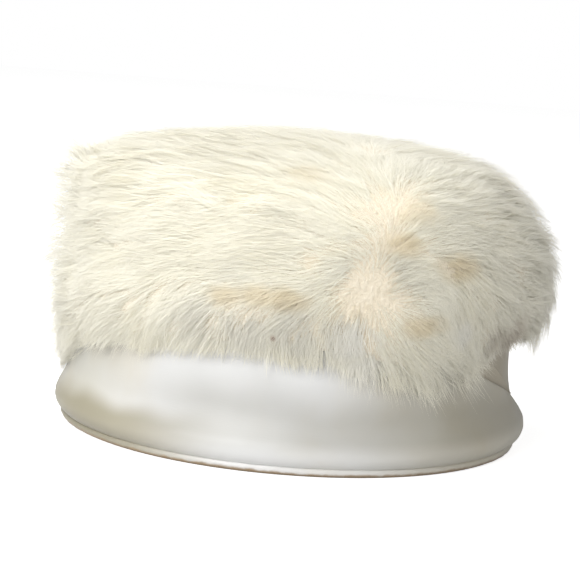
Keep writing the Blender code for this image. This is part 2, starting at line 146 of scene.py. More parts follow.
def cloud(tree, place, scale, detail):
    """Soft noise from 0 to 1."""
    inputs = {"Vector": place, "Scale": scale, "Detail": detail}
    return add_node(tree, "ShaderNodeTexNoise", inputs).outputs["Fac"]


def bump(tree, height, strength, distance, below=None):
    """A bump, which may lie on top of the one below it."""
    inputs = {"Height": height, "Strength": strength, "Distance": distance}
    if below is not None:
        inputs["Normal"] = below
    return add_node(tree, "ShaderNodeBump", inputs).outputs[0]


def place_on_hat(tree):
    return add_node(tree, "ShaderNodeTexCoord").outputs["Object"]


def finish_shader(tree, shader, colour, normal, finish):
    """Links the colour and the bump, and sets the finish by the names of the sockets."""
    tree.links.new(colour, shader.inputs["Base Color"])
    if normal is not None:
        tree.links.new(normal, shader.inputs["Normal"])
    for key, value in finish.items():
        shader.inputs[key].default_value = value


print("node helpers ready")

# %% [markdown]
# ## The satin: its curve
#
# The band flares like a bell towards the rim and rolls under at its lowest edge. The head opening
# is an oval, with the same width and depth as the CAD's. The bell is a short table of how far the
# cloth stands out at each height, close to the CAD's. A cubic curve through the table gives the
# soft swell of the real cloth, where the CAD has straight facets.

# %% Curve of the satin
satin_low, satin_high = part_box("satin_wrap")
NECK_TO_WIDEST = 9.7 * MM
HEAD_HALF_WIDTH = 84.5 * MM
HEAD_HALF_DEPTH = 93.0 * MM
LEFT_HUG = 0.6
WIDEST_ROW = 3

SATIN_CURVE = [
    {"height": 2.90 * MM, "out": 6.00 * MM},
    {"height": 4.30 * MM, "out": 7.95 * MM},
    {"height": 6.20 * MM, "out": 9.30 * MM},
    {"height": 8.90 * MM, "out": 9.70 * MM},
    {"height": 13.9 * MM, "out": 7.85 * MM},
    {"height": 21.0 * MM, "out": 5.00 * MM},
    {"height": 30.0 * MM, "out": 3.70 * MM},
    {"height": 46.4 * MM, "out": 3.40 * MM},
]


def oval(angle):
    """Radius of the head opening in a direction."""
    across = HEAD_HALF_DEPTH * math.cos(angle)
    along = HEAD_HALF_WIDTH * math.sin(angle)
    return HEAD_HALF_WIDTH * HEAD_HALF_DEPTH / math.hypot(across, along)


def curve_through(rows, key, value_key, at):
    """A smooth curve through a table's rows that never overshoots between them."""
    if at <= rows[0][key]:
        return rows[0][value_key]
    for index, (row, following) in enumerate(zip(rows, rows[1:])):
        if at <= following[key]:
            before = rows[max(index - 1, 0)]
            after = rows[min(index + 2, len(rows) - 1)]
            span = following[key] - row[key]
            rise = following[value_key] - row[value_key]
            start = end = 0.0
            if before is not row and (row[value_key] - before[value_key]) * rise > 0:
                start = following[value_key] - before[value_key]
                start = start / (following[key] - before[key]) * span
            if after is not following and (after[value_key] - following[value_key]) * rise > 0:
                end = (after[value_key] - row[value_key]) / (after[key] - row[key]) * span
            t = (at - row[key]) / span
            return (
                row[value_key] * (1 + 2 * t) * (1 - t) ** 2
                + following[value_key] * t * t * (3 - 2 * t)
                + start * t * (1 - t) ** 2
                - end * t * t * (1 - t)
            )
    return rows[-1][value_key]


def satin_out(angle, height):
    """How far the swathed layer stands out. Above its widest row it hugs the head on the left."""
    out = curve_through(SATIN_CURVE, "height", "out", height)
    if height > SATIN_CURVE[WIDEST_ROW]["height"]:
        neck = SATIN_CURVE[-1]["out"]
        hug = 1 + LEFT_HUG * max(0.0, -math.cos(angle))
        share = max(0.0, (out - neck) / (NECK_TO_WIDEST - neck))
        out = neck + (NECK_TO_WIDEST - neck) * share ** hug
    return out


print("satin box", [round(x / MM, 1) for x in (*satin_low, *satin_high)])

# %% [markdown]
# ## The satin: lofting
#
# A loft joins a row of cross-sections. Each section is a closed outline of the cloth's wall at one
# angle: up its outer face and down its inner face. Points crowd together at the edges, so the
# subdivision that follows turns each cut edge into a soft, rounded fold.

# %% Loft helper
SATIN_COLUMNS = 96


def round_point(angle, radius, height):
    return Vector((radius * math.cos(angle), radius * math.sin(angle), height))


def facing_of(profile, index):
    """The outward direction, square to a profile of (radius, height) that runs upwards."""
    before = profile[max(index - 1, 0)]
    after = profile[min(index + 1, len(profile) - 1)]
    run = (after[0] - before[0], after[1] - before[1])
    length = math.hypot(*run)
    return run[1] / length, -run[0] / length


def cloth_wall(profile, thickness):
    """A closed outline: the outer profile, then the same profile moved in by the thickness."""
    inner = []
    for index, (radius, height) in enumerate(profile):
        out, up = facing_of(profile, index)
        inner.append((radius - out * thickness, height - up * thickness))
    return profile + inner[::-1]


def new_piece(name, bm, material):
    """Turns a bmesh into a smooth-shaded piece with one material."""
    mesh = bpy.data.meshes.new(name)
    bm.to_mesh(mesh)
    bm.free()
    mesh.shade_smooth()
    mesh.materials.append(material)
    piece = bpy.data.objects.new(name, mesh)
    bpy.context.scene.collection.objects.link(piece)
    return piece


def loft(sections, closed):
    """Quads between closed cross-sections, with caps where the loft doesn't close on itself."""
    bm = bmesh.new()
    rings = [[bm.verts.new(point) for point in section] for section in sections]
    pairs = list(zip(rings, rings[1:] + rings[:1])) if closed else list(zip(rings, rings[1:]))
    for ring, following in pairs:
        for index in range(len(ring)):
            after = (index + 1) % len(ring)
            bm.faces.new((ring[index], following[index], following[after], ring[after]))
    if not closed:
        bm.faces.new(rings[0])
        bm.faces.new(reversed(rings[-1]))
    bmesh.ops.recalc_face_normals(bm, faces=bm.faces)
    return bm


def soften(piece, levels=1):
    """A subdivision that rounds the edges of the cloth."""
    smooth = piece.modifiers.new("soften", "SUBSURF")
    smooth.levels = levels
    smooth.render_levels = levels


def crowded(low, high, count):
    """Heights from low to high that crowd together at both ends."""
    turns = [math.pi * i / (count - 1) for i in range(count)]
    return [low + (high - low) * (0.5 - 0.5 * math.cos(turn)) for turn in turns]


print("loft helpers ready")

# %% [markdown]
# ## The satin's finish
#
# Duchess satin has long threads on its face, so it gleams along them: pearly at the top, greyer in a
# belt below, and beige where the cloth turns away or curls under. A Principled shader with some
# anisotropy and a thin sheen gives the gleam. The belt, the curled lower left and the ends are painted
# shade, tints that come in with height and place, and noise bends their borders as folds would. The
# lap's painted shade darkens the front of the under layer. The aged patches are the cloth's own colour.
# Slubs and puckers go in the bump. All patterns read Object coordinates, so they stay where they are on
# the hat.

# %% Satin material
SATIN_PEARL = (0.78, 0.78, 0.77)
SATIN_AGED = (0.72, 0.68, 0.59)
SATIN_SOIL = (0.38, 0.27, 0.16)
# colours of painted shade on the satin: where the cloth curls under, the belt, the right and far-left
# ends, and the front under the lap
SATIN_CURL_SHADE = (0.45, 0.42, 0.335)
SATIN_BELT_SHADE = (0.61, 0.605, 0.58)
SATIN_SHADE_RIGHT = (0.82, 0.78, 0.67)
SATIN_SHADE_LEFT = (0.74, 0.72, 0.64)
LAP_SHADE = (0.78, 0.73, 0.65)
SATIN_FINISH = {
    "Roughness": 0.44,
    "Anisotropic": 0.4,
    "Specular IOR Level": 0.7,
    "Sheen Weight": 0.25,
    "Sheen Roughness": 0.4,
}

# where each shade starts and where it is full, as a height, or how far right or back
CURL_SHADE_HEIGHT = (20 * MM, 11 * MM)
CURL_SHADE_LEFT = (-15 * MM, -60 * MM)
SHADE_BELT_TOP = (40 * MM, 21 * MM)
SHADE_BELT_BOTTOM = (5 * MM, 14 * MM)
SHADE_BELT_LEFT = (-80 * MM, -25 * MM)
RIGHT_SHADE_SPAN = (10 * MM, 72 * MM)
LEFT_SHADE_SPAN = (-45 * MM, -82 * MM)
LAP_FRONT = (20 * MM, -30 * MM)
SHADE_WANDER = 16 * MM

# noise as (scale, detail)
AGE_CLOUD = (22.0, 4.0)
AGE_START, AGE_FULL = 0.45, 0.85
FOLD_CLOUD = (26.0, 1.0)
GRIME_CLOUD = (240.0, 3.0)
SLUB_CLOUD = (300.0, 3.0)
PUCKER_CLOUD = (45.0, 2.0)
SLUB_STRETCH = (1.0, 1.0, 9.0)


def soiled_edge(tree, place, colour, height, soil_height):
    """The colour with an uneven line of soil at the very bottom."""
    uneven = math_node(tree, "MULTIPLY", cloud(tree, place, *GRIME_CLOUD), soil_height)
    above = math_node(tree, "SUBTRACT", height, uneven)
    return mix_colours(tree, ramp(tree, above, -0.1 * MM, soil_height * 0.7), SATIN_SOIL, colour)


def satin_material(name, pearl, aged, soil_height=0.0, lap_shade=None):
    """Pearl satin with painted shade where it curls under, in a belt and at the ends. Below soil_height
    it darkens to a worn edge. lap_shade paints shade on its front.
    """
    material, tree, shader = new_material(name)
    place = place_on_hat(tree)
    across, back, height = apart(tree, place)
    wander = math_node(tree, "ADD", cloud(tree, place, *FOLD_CLOUD), -0.5)
    folded = math_node(tree, "MULTIPLY_ADD", wander, SHADE_WANDER, height)
    age = ramp(tree, cloud(tree, place, *AGE_CLOUD), AGE_START, AGE_FULL)
    colour = mix_colours(tree, age, pearl, aged)
    # painted shade: the lower left turns beige where the cloth curls under and faces away from the
    # light
    curl_shade = math_node(
        tree, "MULTIPLY", ramp(tree, folded, *CURL_SHADE_HEIGHT), ramp(tree, across, *CURL_SHADE_LEFT)
    )
    colour = mix_colours(tree, curl_shade, colour, SATIN_CURL_SHADE)
    # painted shade: a greyer belt between the lit top of the band and the lit flare, fading out to the
    # left
    belt_shade = math_node(
        tree, "MULTIPLY", ramp(tree, folded, *SHADE_BELT_TOP), ramp(tree, height, *SHADE_BELT_BOTTOM)
    )
    belt_shade = math_node(tree, "MULTIPLY", belt_shade, ramp(tree, across, *SHADE_BELT_LEFT))
    # painted shade that multiplies the colour: the belt, the right and far-left ends turned from the
    # light, and the lap's shade on the front
    tints = [
        (belt_shade, SATIN_BELT_SHADE),
        (ramp(tree, across, *RIGHT_SHADE_SPAN), SATIN_SHADE_RIGHT),
        (ramp(tree, across, *LEFT_SHADE_SPAN), SATIN_SHADE_LEFT),
    ]
    if lap_shade:
        tints.append((ramp(tree, back, *LAP_FRONT), lap_shade))
    for share, tint in tints:
        colour = mix_colours(tree, share, colour, tint, blend="MULTIPLY")
    if soil_height:
        colour = soiled_edge(tree, place, colour, height, soil_height)
    stretched = add_node(tree, "ShaderNodeMapping", {"Vector": place, "Scale": SLUB_STRETCH})
    slubs = bump(tree, cloud(tree, stretched.outputs[0], *SLUB_CLOUD), 0.16, 0.12 * MM)
    puckers = bump(tree, cloud(tree, place, *PUCKER_CLOUD), 0.35, 1.2 * MM, below=slubs)
    finish_shader(tree, shader, colour, puckers, SATIN_FINISH)
    return material


wrap_satin = satin_material("wrap_satin", SATIN_PEARL, SATIN_AGED)
band_satin = satin_material("band_satin", SATIN_PEARL, SATIN_AGED, lap_shade=LAP_SHADE)
print("satin materials ready")

# %% [markdown]
# ## The swathed layer
#
# The outer layer runs from the centre-back seam round the front to the lapped end, where its
# upper edge slopes down to the rim. The pull of the lap raises soft ridges along that edge, and
# noise gives shallow dents all round.

# %% Swathed layer
WRAP_START, WRAP_END = 91.0, 384.0
LAP_EDGE = [
    {"angle": 305.0, "height": 46.3 * MM},
    {"angle": 309.0, "height": 45.6 * MM},
    {"angle": 319.0, "height": 36.8 * MM},
    {"angle": 329.0, "height": 30.9 * MM},
    {"angle": 343.0, "height": 24.0 * MM},
    {"angle": 366.0, "height": 10.3 * MM},
    {"angle": 384.0, "height": 9.6 * MM},
]
WRAP_ROWS = 13
WRAP_CROWDING = 1.25
WRAP_WALL = 1.1 * MM
DENTS = [(2.3, 0.70 * MM), (6.1, 0.34 * MM)]
DENT_SQUASH = 14
RELIEF_START, RELIEF_RISE = 3.2 * MM, 5 * MM
LAPPED_FROM, LAPPED_OVER = 285, 35
RIDGES = [
    {"below": 3.0 * MM, "width": 2.2 * MM, "height": 0.55 * MM},
    {"below": 9.5 * MM, "width": 3.0 * MM, "height": 0.35 * MM},
    {"below": 17.0 * MM, "width": 4.0 * MM, "height": 0.25 * MM},
]


def lap_height(degrees):
    return curve_through(LAP_EDGE, "angle", "height", degrees)


def satin_relief(angle, height, edge):
    """Soft dents all round, and ridges that run along the lapped edge and fade to the front."""
    around = round_point(angle, 1.0, height * DENT_SQUASH)
    dents = sum(noise.noise(around * scale) * depth for scale, depth in DENTS)
    lapped = min(1.0, max(0.0, (math.degrees(angle) - LAPPED_FROM) / LAPPED_OVER))
    for ridge in RIDGES:
        away = (edge - height - ridge["below"]) / ridge["width"]
        dents += lapped * ridge["height"] * math.exp(-away * away)
    return dents * min(1.0, max(0.0, (height - RELIEF_START) / RELIEF_RISE))


def build_wrap():
    sections = []
    steps = int((WRAP_END - WRAP_START) / 360 * SATIN_COLUMNS * WRAP_CROWDING)
    for step in range(steps + 1):
        degrees = WRAP_START + (WRAP_END - WRAP_START) * step / steps
        angle = math.radians(degrees)
        top = lap_height(degrees)
        profile = []
        for height in crowded(SATIN_CURVE[0]["height"], top, WRAP_ROWS):
            out = satin_out(angle, height) + satin_relief(angle, height, top)
            profile.append((oval(angle) + out, height))
        sections.append([round_point(angle, *place) for place in cloth_wall(profile, WRAP_WALL)])
    piece = new_piece("swathed_satin", loft(sections, closed=False), wrap_satin)
    soften(piece)
    return piece


swathed_satin = build_wrap()
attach(swathed_satin, "root")
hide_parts("satin_wrap")
print("swathed satin:", len(swathed_satin.data.polygons), "faces before softening")

# %% [markdown]
# ## The under layer and its tuck
#
# The under layer goes all the way round and shows above the lapped edge on the wearer's left.
# Between the two lies a narrow tuck, the edge of one more turn of cloth, that tapers away under
# the lap. Both are lofts again, set in from the outer layer by its thickness and a small gap.

# %% Under layer and tuck
BAND_BOTTOM = 3.5 * MM
BAND_TOP = 47.6 * MM
BAND_INSET = 1.7 * MM
BAND_WALL = 1.1 * MM
BAND_ROWS = 11
WRINKLE_SQUASH, WRINKLE_SCALE, WRINKLE_DEPTH = 10, 5.0, 0.18 * MM
FOLD_START, FOLD_END = 309.5, 347.0
FOLD_EDGE = [
    {"angle": 309.5, "height": 46.4 * MM},
    {"angle": 317.0, "height": 46.2 * MM},
    {"angle": 324.0, "height": 41.5 * MM},
    {"angle": 330.0, "height": 36.7 * MM},
    {"angle": 338.0, "height": 30.2 * MM},
    {"angle": 347.0, "height": 23.2 * MM},
]
FOLD_INSET = 0.35 * MM
FOLD_WALL = 0.8 * MM
FOLD_STEPS = 24
FOLD_ROWS = 6
FOLD_UNDER_LAP, FOLD_LEAST = 0.6 * MM, 1.2 * MM
FOLD_DIP, FOLD_DIP_HEIGHT = 0.9 * MM, 1.6 * MM
FOLD_ROLL, FOLD_ROLL_HEIGHT = 0.35 * MM, 1.4 * MM


def build_band():
    sections = []
    for step in range(SATIN_COLUMNS):
        angle = math.tau * step / SATIN_COLUMNS
        profile = []
        for height in crowded(BAND_BOTTOM, BAND_TOP, BAND_ROWS):
            around = round_point(angle, 1.0, height * WRINKLE_SQUASH)
            wrinkle = noise.noise(around * WRINKLE_SCALE) * WRINKLE_DEPTH
            out = satin_out(angle, height) - BAND_INSET + wrinkle
            profile.append((oval(angle) + out, height))
        sections.append([round_point(angle, *place) for place in cloth_wall(profile, BAND_WALL)])
    piece = new_piece("under_satin", loft(sections, closed=True), band_satin)
    soften(piece)
    return piece


def build_tuck():
    sections = []
    for step in range(FOLD_STEPS + 1):
        degrees = FOLD_START + (FOLD_END - FOLD_START) * step / FOLD_STEPS
        angle = math.radians(degrees)
        low = lap_height(degrees) - FOLD_UNDER_LAP
        high = max(low + FOLD_LEAST, curve_through(FOLD_EDGE, "angle", "height", degrees))
        profile = []
        for height in crowded(low, high, FOLD_ROWS):
            inset = FOLD_INSET + FOLD_DIP * max(0.0, 1 - (height - low) / FOLD_DIP_HEIGHT)
            roll = FOLD_ROLL * math.exp(-(((high - height) / FOLD_ROLL_HEIGHT) ** 2))
            profile.append((oval(angle) + satin_out(angle, height) - inset + roll, height))
        sections.append([round_point(angle, *place) for place in cloth_wall(profile, FOLD_WALL)])
    piece = new_piece("tucked_satin", loft(sections, closed=False), band_satin)
    soften(piece)
    return piece


under_satin = build_band()
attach(under_satin, "root")
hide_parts("satin_band")
tucked_satin = build_tuck()
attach(tucked_satin, "root")
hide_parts("satin_fold")
print("under layer and tuck lofted")

# %% [markdown]
# ## The corded rim
#
# The lower edge of the satin is turned over a soft cord. It shows as a bright, rounded lip with a
# brown line of soil underneath, where it has been handled. A tube swept round the oval does it,
# with a flat foot where it stands and small puckers where the cloth is gathered over the cord.

# %% Corded rim
RIM_OUT = 4.5 * MM
RIM_RADIUS = 2.0 * MM
RIM_FOOT = 0.8 * MM
RIM_TURNS = 12
RIM_COLUMNS = 180
PUCKERS, PUCKER_DEPTH = 57, 0.07 * MM
UNEVEN_SCALE, UNEVEN_DEPTH = 14, 0.10 * MM


def build_rim():
    centre_height = math.sqrt(RIM_RADIUS**2 - RIM_FOOT**2)
    sections = []
    for step in range(RIM_COLUMNS):
        angle = math.tau * step / RIM_COLUMNS
        centre = oval(angle) + RIM_OUT
        pucker = PUCKER_DEPTH * math.sin(angle * PUCKERS)
        pucker += UNEVEN_DEPTH * noise.noise(round_point(angle, 1, 0) * UNEVEN_SCALE)
        section = []
        for turn in range(RIM_TURNS):
            around = -math.pi / 2 + math.tau * (turn + 0.5) / RIM_TURNS
            swell = RIM_RADIUS + pucker * max(0.0, math.cos(around))
            height = max(0.0, centre_height + swell * math.sin(around))
            section.append(round_point(angle, centre + swell * math.cos(around), height))
        sections.append(section)
    return new_piece("corded_rim", loft(sections, closed=True), cord_satin)


CORD_PEARL = (0.80, 0.79, 0.77)
cord_satin = satin_material("cord_satin", CORD_PEARL, SATIN_AGED, soil_height=1.5 * MM)
corded_rim = build_rim()
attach(corded_rim, "root")
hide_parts("rim_roll")
print("rim swept with", RIM_COLUMNS, "sections")

# %% [markdown]
# ## The skin of the pelt
#
# Seen from below, the crown shows the flesh side of the pelt: pale, matt and a little blotched,
# like suede. The CAD's own solid has the right shape, so it stays and only gets a material.

# %% Pelt skin
SKIN_PALE = (0.76, 0.70, 0.58)
SKIN_DARK = (0.64, 0.55, 0.42)
BLOTCH_CLOUD = (35.0, 5.0)
BLOTCH_START, BLOTCH_FULL = 0.35, 0.7
NAP_CLOUD = (900.0, 3.0)

skin_material, skin_tree, skin_shader = new_material("pelt_skin")
skin_place = place_on_hat(skin_tree)
blotches = cloud(skin_tree, skin_place, *BLOTCH_CLOUD)
blotches = ramp(skin_tree, blotches, BLOTCH_START, BLOTCH_FULL)
nap = bump(skin_tree, cloud(skin_tree, skin_place, *NAP_CLOUD), 0.4, 0.3 * MM)
skin_colour = mix_colours(skin_tree, blotches, SKIN_PALE, SKIN_DARK)
finish_shader(skin_tree, skin_shader, skin_colour, nap, {"Roughness": 0.9})
for skin_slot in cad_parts["crown_skin"].material_slots:
    skin_slot.material = skin_material
print("pelt skin dressed")

# %% [markdown]
# ## The fur: a surface to comb
#
# Fur is thousands of hairs, but they follow one soft surface: the outside of the pile. The CAD's
# solid has that surface with its locks on it, so rays are cast at the solid from outside, and the
# places that they hit are joined into a grid and evened out. Below the hem the grid goes on down
# over the satin, so that the fringe has something to hang along.

# %% Comb surface
PILE_COLUMNS = 144
SIDE_ROWS = 18
TOP_ROWS = 22
APRON_ROWS = 7
TURN_HEIGHT = 82 * MM
APRON_DROP = 24 * MM
APRON_STAND_OFF = 1.0 * MM
APRON_LOWEST = 7 * MM
HEM_START, HEM_LOWEST, HEM_STEP = 60 * MM, 5 * MM, 1 * MM
HEM_EVENINGS = 6
SIDE_START = 0.6 * MM
WITHIN_HEAD = 2 * MM
TOP_RISE, TOP_CROWDING = 0.40, 0.9
SURFACE_EVENINGS = 5
FAR = 0.3


def surface_tree(mesh):
    """A mesh's faces, ready for rays to meet."""
    places = [v.co.copy() for v in mesh.vertices]
    return BVHTree.FromPolygons(places, [tuple(p.vertices) for p in mesh.polygons])


pile_tree = surface_tree(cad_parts["fur_pile"].data)


def pile_hit(origin, direction):
    """Where a ray from outside first meets the fur, or None."""
    return pile_tree.ray_cast(origin, direction)[0]


def side_hit(angle, height):
    """Where the fur's side is at a height, or None below the hem, where only the far side is met."""
    outward = round_point(angle, 1, 0)
    hit = pile_hit(round_point(angle, FAR, height), -outward)
    nearest = 0 if height > HEM_START else oval(angle) - WITHIN_HEAD
    return hit if hit and hit.dot(outward) > nearest else None


def hem_of(angle):
    """The lowest height at which the fur still shows from outside."""
    height = HEM_START
    while height > HEM_LOWEST and side_hit(angle, height - HEM_STEP):
        height -= HEM_STEP
    return height


def evened(values, times):
    """A closed list with each value averaged with its neighbours."""
    for _ in range(times):
        values = [
            (values[i - 1] + 2 * value + values[(i + 1) % len(values)]) / 4
            for i, value in enumerate(values)
        ]
    return values


column_angles = [math.tau * i / PILE_COLUMNS for i in range(PILE_COLUMNS)]
hems = evened([hem_of(a) for a in column_angles], HEM_EVENINGS)


def comb_column(angle, hem):
    """One column of the grid, from the bottom of the apron to just short of the top's middle."""
    column = []
    bottom = max(APRON_LOWEST, hem - APRON_DROP)
    for row in range(APRON_ROWS):
        height = bottom + (hem - bottom) * row / APRON_ROWS
        radius = oval(angle) + satin_out(angle, height) + APRON_STAND_OFF
        column.append(round_point(angle, radius, height))
    for row in range(SIDE_ROWS):
        height = hem + SIDE_START + (TURN_HEIGHT - hem) * row / SIDE_ROWS
        hit = side_hit(angle, height)
        column.append(hit if hit else column[-1] + Vector((0, 0, height - column[-1].z)))
    pivot = Vector((0, 0, TURN_HEIGHT))
    for row in range(TOP_ROWS):
        share = row / TOP_ROWS
        aim = round_point(angle, 1 - share, TOP_RISE * share**TOP_CROWDING).normalized()
        column.append(pile_hit(pivot + aim * FAR, -aim))
    return column


columns = [comb_column(a, h) for a, h in zip(column_angles, hems)]
FIRST_FUR_ROW = APRON_ROWS
for _ in range(SURFACE_EVENINGS):
    settled = [list(column) for column in columns]
    for i, column in enumerate(columns):
        left, right = columns[i - 1], columns[(i + 1) % PILE_COLUMNS]
        for j in range(FIRST_FUR_ROW, len(column) - 1):
            around = column[j - 1] + column[j + 1] + left[j] + right[j]
            settled[i][j] = (around + 2 * column[j]) / 6
    columns = settled
crest = pile_hit(Vector((0, 0, FAR)), Vector((0, 0, -1)))


def build_comb_mesh():
    bm = bmesh.new()
    grid = [[bm.verts.new(place) for place in column] for column in columns]
    middle = bm.verts.new(crest)
    for column, following in zip(grid, grid[1:] + grid[:1]):
        for row in range(len(column) - 1):
            bm.faces.new((column[row], following[row], following[row + 1], column[row + 1]))
        bm.faces.new((column[-1], following[-1], middle))
    bm.normal_update()
    mesh = bpy.data.meshes.new("comb_surface")
    bm.to_mesh(mesh)
    bm.free()
    return mesh


comb_mesh = build_comb_mesh()
facings = [v.normal.copy() for v in comb_mesh.vertices]
comb_tree = surface_tree(comb_mesh)
print("comb surface:", PILE_COLUMNS, "columns of", len(columns[0]), "rows")
print("hem from", round(min(hems) / MM), "to", round(max(hems) / MM), "mm")

# %% [markdown]
# ## Combing
#
# A furrier combs a hat in sweeps, and the photograph shows where they run: to the left over most of the
# front, round a whorl right of the middle, and down into a fringe over the satin. Three tables say
# which way the tips point at about a hundred places: in front, as pixels across and down the
# photograph, then round the sides and back, and on top. Everywhere else the nearest rows share the say,
# weighed by distance.

# %% Combing table
PHOTO_SIDE = 580
SHALLOWEST = -0.35
NEAR, EVENNESS, FALL_OFF = 10 * MM, 0.05, 2.2
SEEN_COMBING = [
    {"across": 80, "down": 160, "right": -1.00, "up": 0.25},
    {"across": 75, "down": 200, "right": -1.00, "up": 0.10},
    {"across": 70, "down": 250, "right": -1.00, "up": -0.05},
    {"across": 64, "down": 300, "right": -0.90, "up": -0.35},
    {"across": 64, "down": 340, "right": -0.60, "up": -0.80},
    {"across": 75, "down": 362, "right": -0.30, "up": -1.00},
    {"across": 120, "down": 150, "right": -1.00, "up": 0.10},
    {"across": 120, "down": 200, "right": -1.00, "up": 0.00},
    {"across": 120, "down": 250, "right": -1.00, "up": -0.10},
    {"across": 115, "down": 300, "right": -0.80, "up": -0.50},
    {"across": 105, "down": 340, "right": -0.35, "up": -1.00},
    {"across": 180, "down": 160, "right": -1.00, "up": 0.05},
    {"across": 180, "down": 210, "right": -1.00, "up": 0.00},
    {"across": 180, "down": 260, "right": -1.00, "up": -0.15},
    {"across": 175, "down": 300, "right": -0.75, "up": -0.60},
    {"across": 170, "down": 325, "right": -0.30, "up": -1.00},
    {"across": 165, "down": 348, "right": -0.10, "up": -1.00},
    {"across": 240, "down": 160, "right": -1.00, "up": 0.10},
    {"across": 240, "down": 210, "right": -1.00, "up": 0.05},
    {"across": 240, "down": 260, "right": -1.00, "up": -0.10},
    {"across": 235, "down": 293, "right": -0.90, "up": -0.30},
    {"across": 235, "down": 318, "right": -0.40, "up": -0.90},
    {"across": 235, "down": 345, "right": 0.00, "up": -1.00},
    {"across": 300, "down": 160, "right": -1.00, "up": 0.15},
    {"across": 300, "down": 210, "right": -1.00, "up": 0.10},
    {"across": 300, "down": 255, "right": -1.00, "up": 0.00},
    {"across": 300, "down": 285, "right": -1.00, "up": -0.15},
    {"across": 295, "down": 308, "right": -0.60, "up": -0.70},
    {"across": 300, "down": 332, "right": -0.10, "up": -1.00},
    {"across": 300, "down": 350, "right": 0.00, "up": -1.00},
    {"across": 345, "down": 160, "right": -0.80, "up": 0.40},
    {"across": 345, "down": 210, "right": -0.90, "up": 0.30},
    {"across": 345, "down": 245, "right": -1.00, "up": 0.15},
    {"across": 345, "down": 280, "right": -1.00, "up": -0.10},
    {"across": 335, "down": 305, "right": -0.70, "up": -0.60},
    {"across": 340, "down": 330, "right": -0.10, "up": -1.00},
    {"across": 345, "down": 352, "right": 0.00, "up": -1.00},
    {"across": 378, "down": 200, "right": -0.60, "up": 0.60},
    {"across": 372, "down": 238, "right": -0.80, "up": 0.40},
    {"across": 367, "down": 266, "right": -0.80, "up": 0.20},
    {"across": 366, "down": 310, "right": 0.00, "up": -1.00},
    {"across": 362, "down": 340, "right": 0.05, "up": -1.00},
    {"across": 372, "down": 365, "right": 0.15, "up": -1.00},
    {"across": 378, "down": 385, "right": 0.25, "up": -1.00},
    {"across": 380, "down": 278, "right": 0.30, "up": 1.00},
    {"across": 392, "down": 264, "right": 0.80, "up": 0.60},
    {"across": 415, "down": 258, "right": 1.00, "up": 0.00},
    {"across": 440, "down": 264, "right": 0.90, "up": -0.40},
    {"across": 455, "down": 282, "right": 0.50, "up": -0.85},
    {"across": 460, "down": 310, "right": 0.25, "up": -1.00},
    {"across": 470, "down": 335, "right": 0.20, "up": -1.00},
    {"across": 408, "down": 292, "right": 0.80, "up": 0.30},
    {"across": 425, "down": 312, "right": 0.70, "up": -0.40},
    {"across": 405, "down": 330, "right": 0.50, "up": -0.90},
    {"across": 430, "down": 340, "right": 0.70, "up": -0.70},
    {"across": 450, "down": 358, "right": 0.70, "up": -0.70},
    {"across": 468, "down": 376, "right": 0.60, "up": -0.80},
    {"across": 420, "down": 372, "right": 0.35, "up": -0.90},
    {"across": 398, "down": 356, "right": 0.30, "up": -1.00},
    {"across": 440, "down": 386, "right": 0.40, "up": -0.90},
    {"across": 420, "down": 200, "right": 0.80, "up": 0.50},
    {"across": 415, "down": 232, "right": 0.90, "up": 0.20},
    {"across": 392, "down": 165, "right": -0.30, "up": 0.90},
    {"across": 392, "down": 192, "right": -0.60, "up": 0.70},
    {"across": 460, "down": 200, "right": 0.90, "up": 0.20},
    {"across": 470, "down": 240, "right": 0.80, "up": -0.30},
    {"across": 490, "down": 200, "right": 1.00, "up": 0.10},
    {"across": 510, "down": 225, "right": 1.00, "up": -0.10},
    {"across": 520, "down": 255, "right": 0.90, "up": -0.40},
    {"across": 500, "down": 282, "right": 0.60, "up": -0.80},
    {"across": 530, "down": 290, "right": 0.80, "up": -0.50},
    {"across": 500, "down": 320, "right": 0.30, "up": -1.00},
    {"across": 520, "down": 318, "right": 0.50, "up": -0.90},
    {"across": 487, "down": 338, "right": 0.10, "up": -1.00},
]
COMBING = [
    {"angle": 348, "height": 92, "x": 0.40, "y": 0.7, "z": -0.60},
    {"angle": 348, "height": 68, "x": 0.20, "y": 0.5, "z": -0.90},
    {"angle": 350, "height": 52, "x": -0.20, "y": 0.1, "z": -1.0},
    {"angle": 20, "height": 85, "x": 0.30, "y": 0.4, "z": -0.90},
    {"angle": 20, "height": 55, "x": 0.00, "y": 0.2, "z": -1.0},
    {"angle": 60, "height": 85, "x": 0.10, "y": 0.3, "z": -1.0},
    {"angle": 60, "height": 50, "x": 0.10, "y": 0.1, "z": -1.0},
    {"angle": 95, "height": 85, "x": -0.10, "y": 0.2, "z": -1.0},
    {"angle": 95, "height": 50, "x": 0.00, "y": 0.0, "z": -1.0},
    {"angle": 130, "height": 85, "x": -0.30, "y": 0.3, "z": -0.9},
    {"angle": 130, "height": 45, "x": -0.10, "y": 0.0, "z": -1.0},
    {"angle": 160, "height": 85, "x": -0.20, "y": 0.8, "z": -0.5},
    {"angle": 160, "height": 40, "x": -0.10, "y": 0.3, "z": -1.0},
]
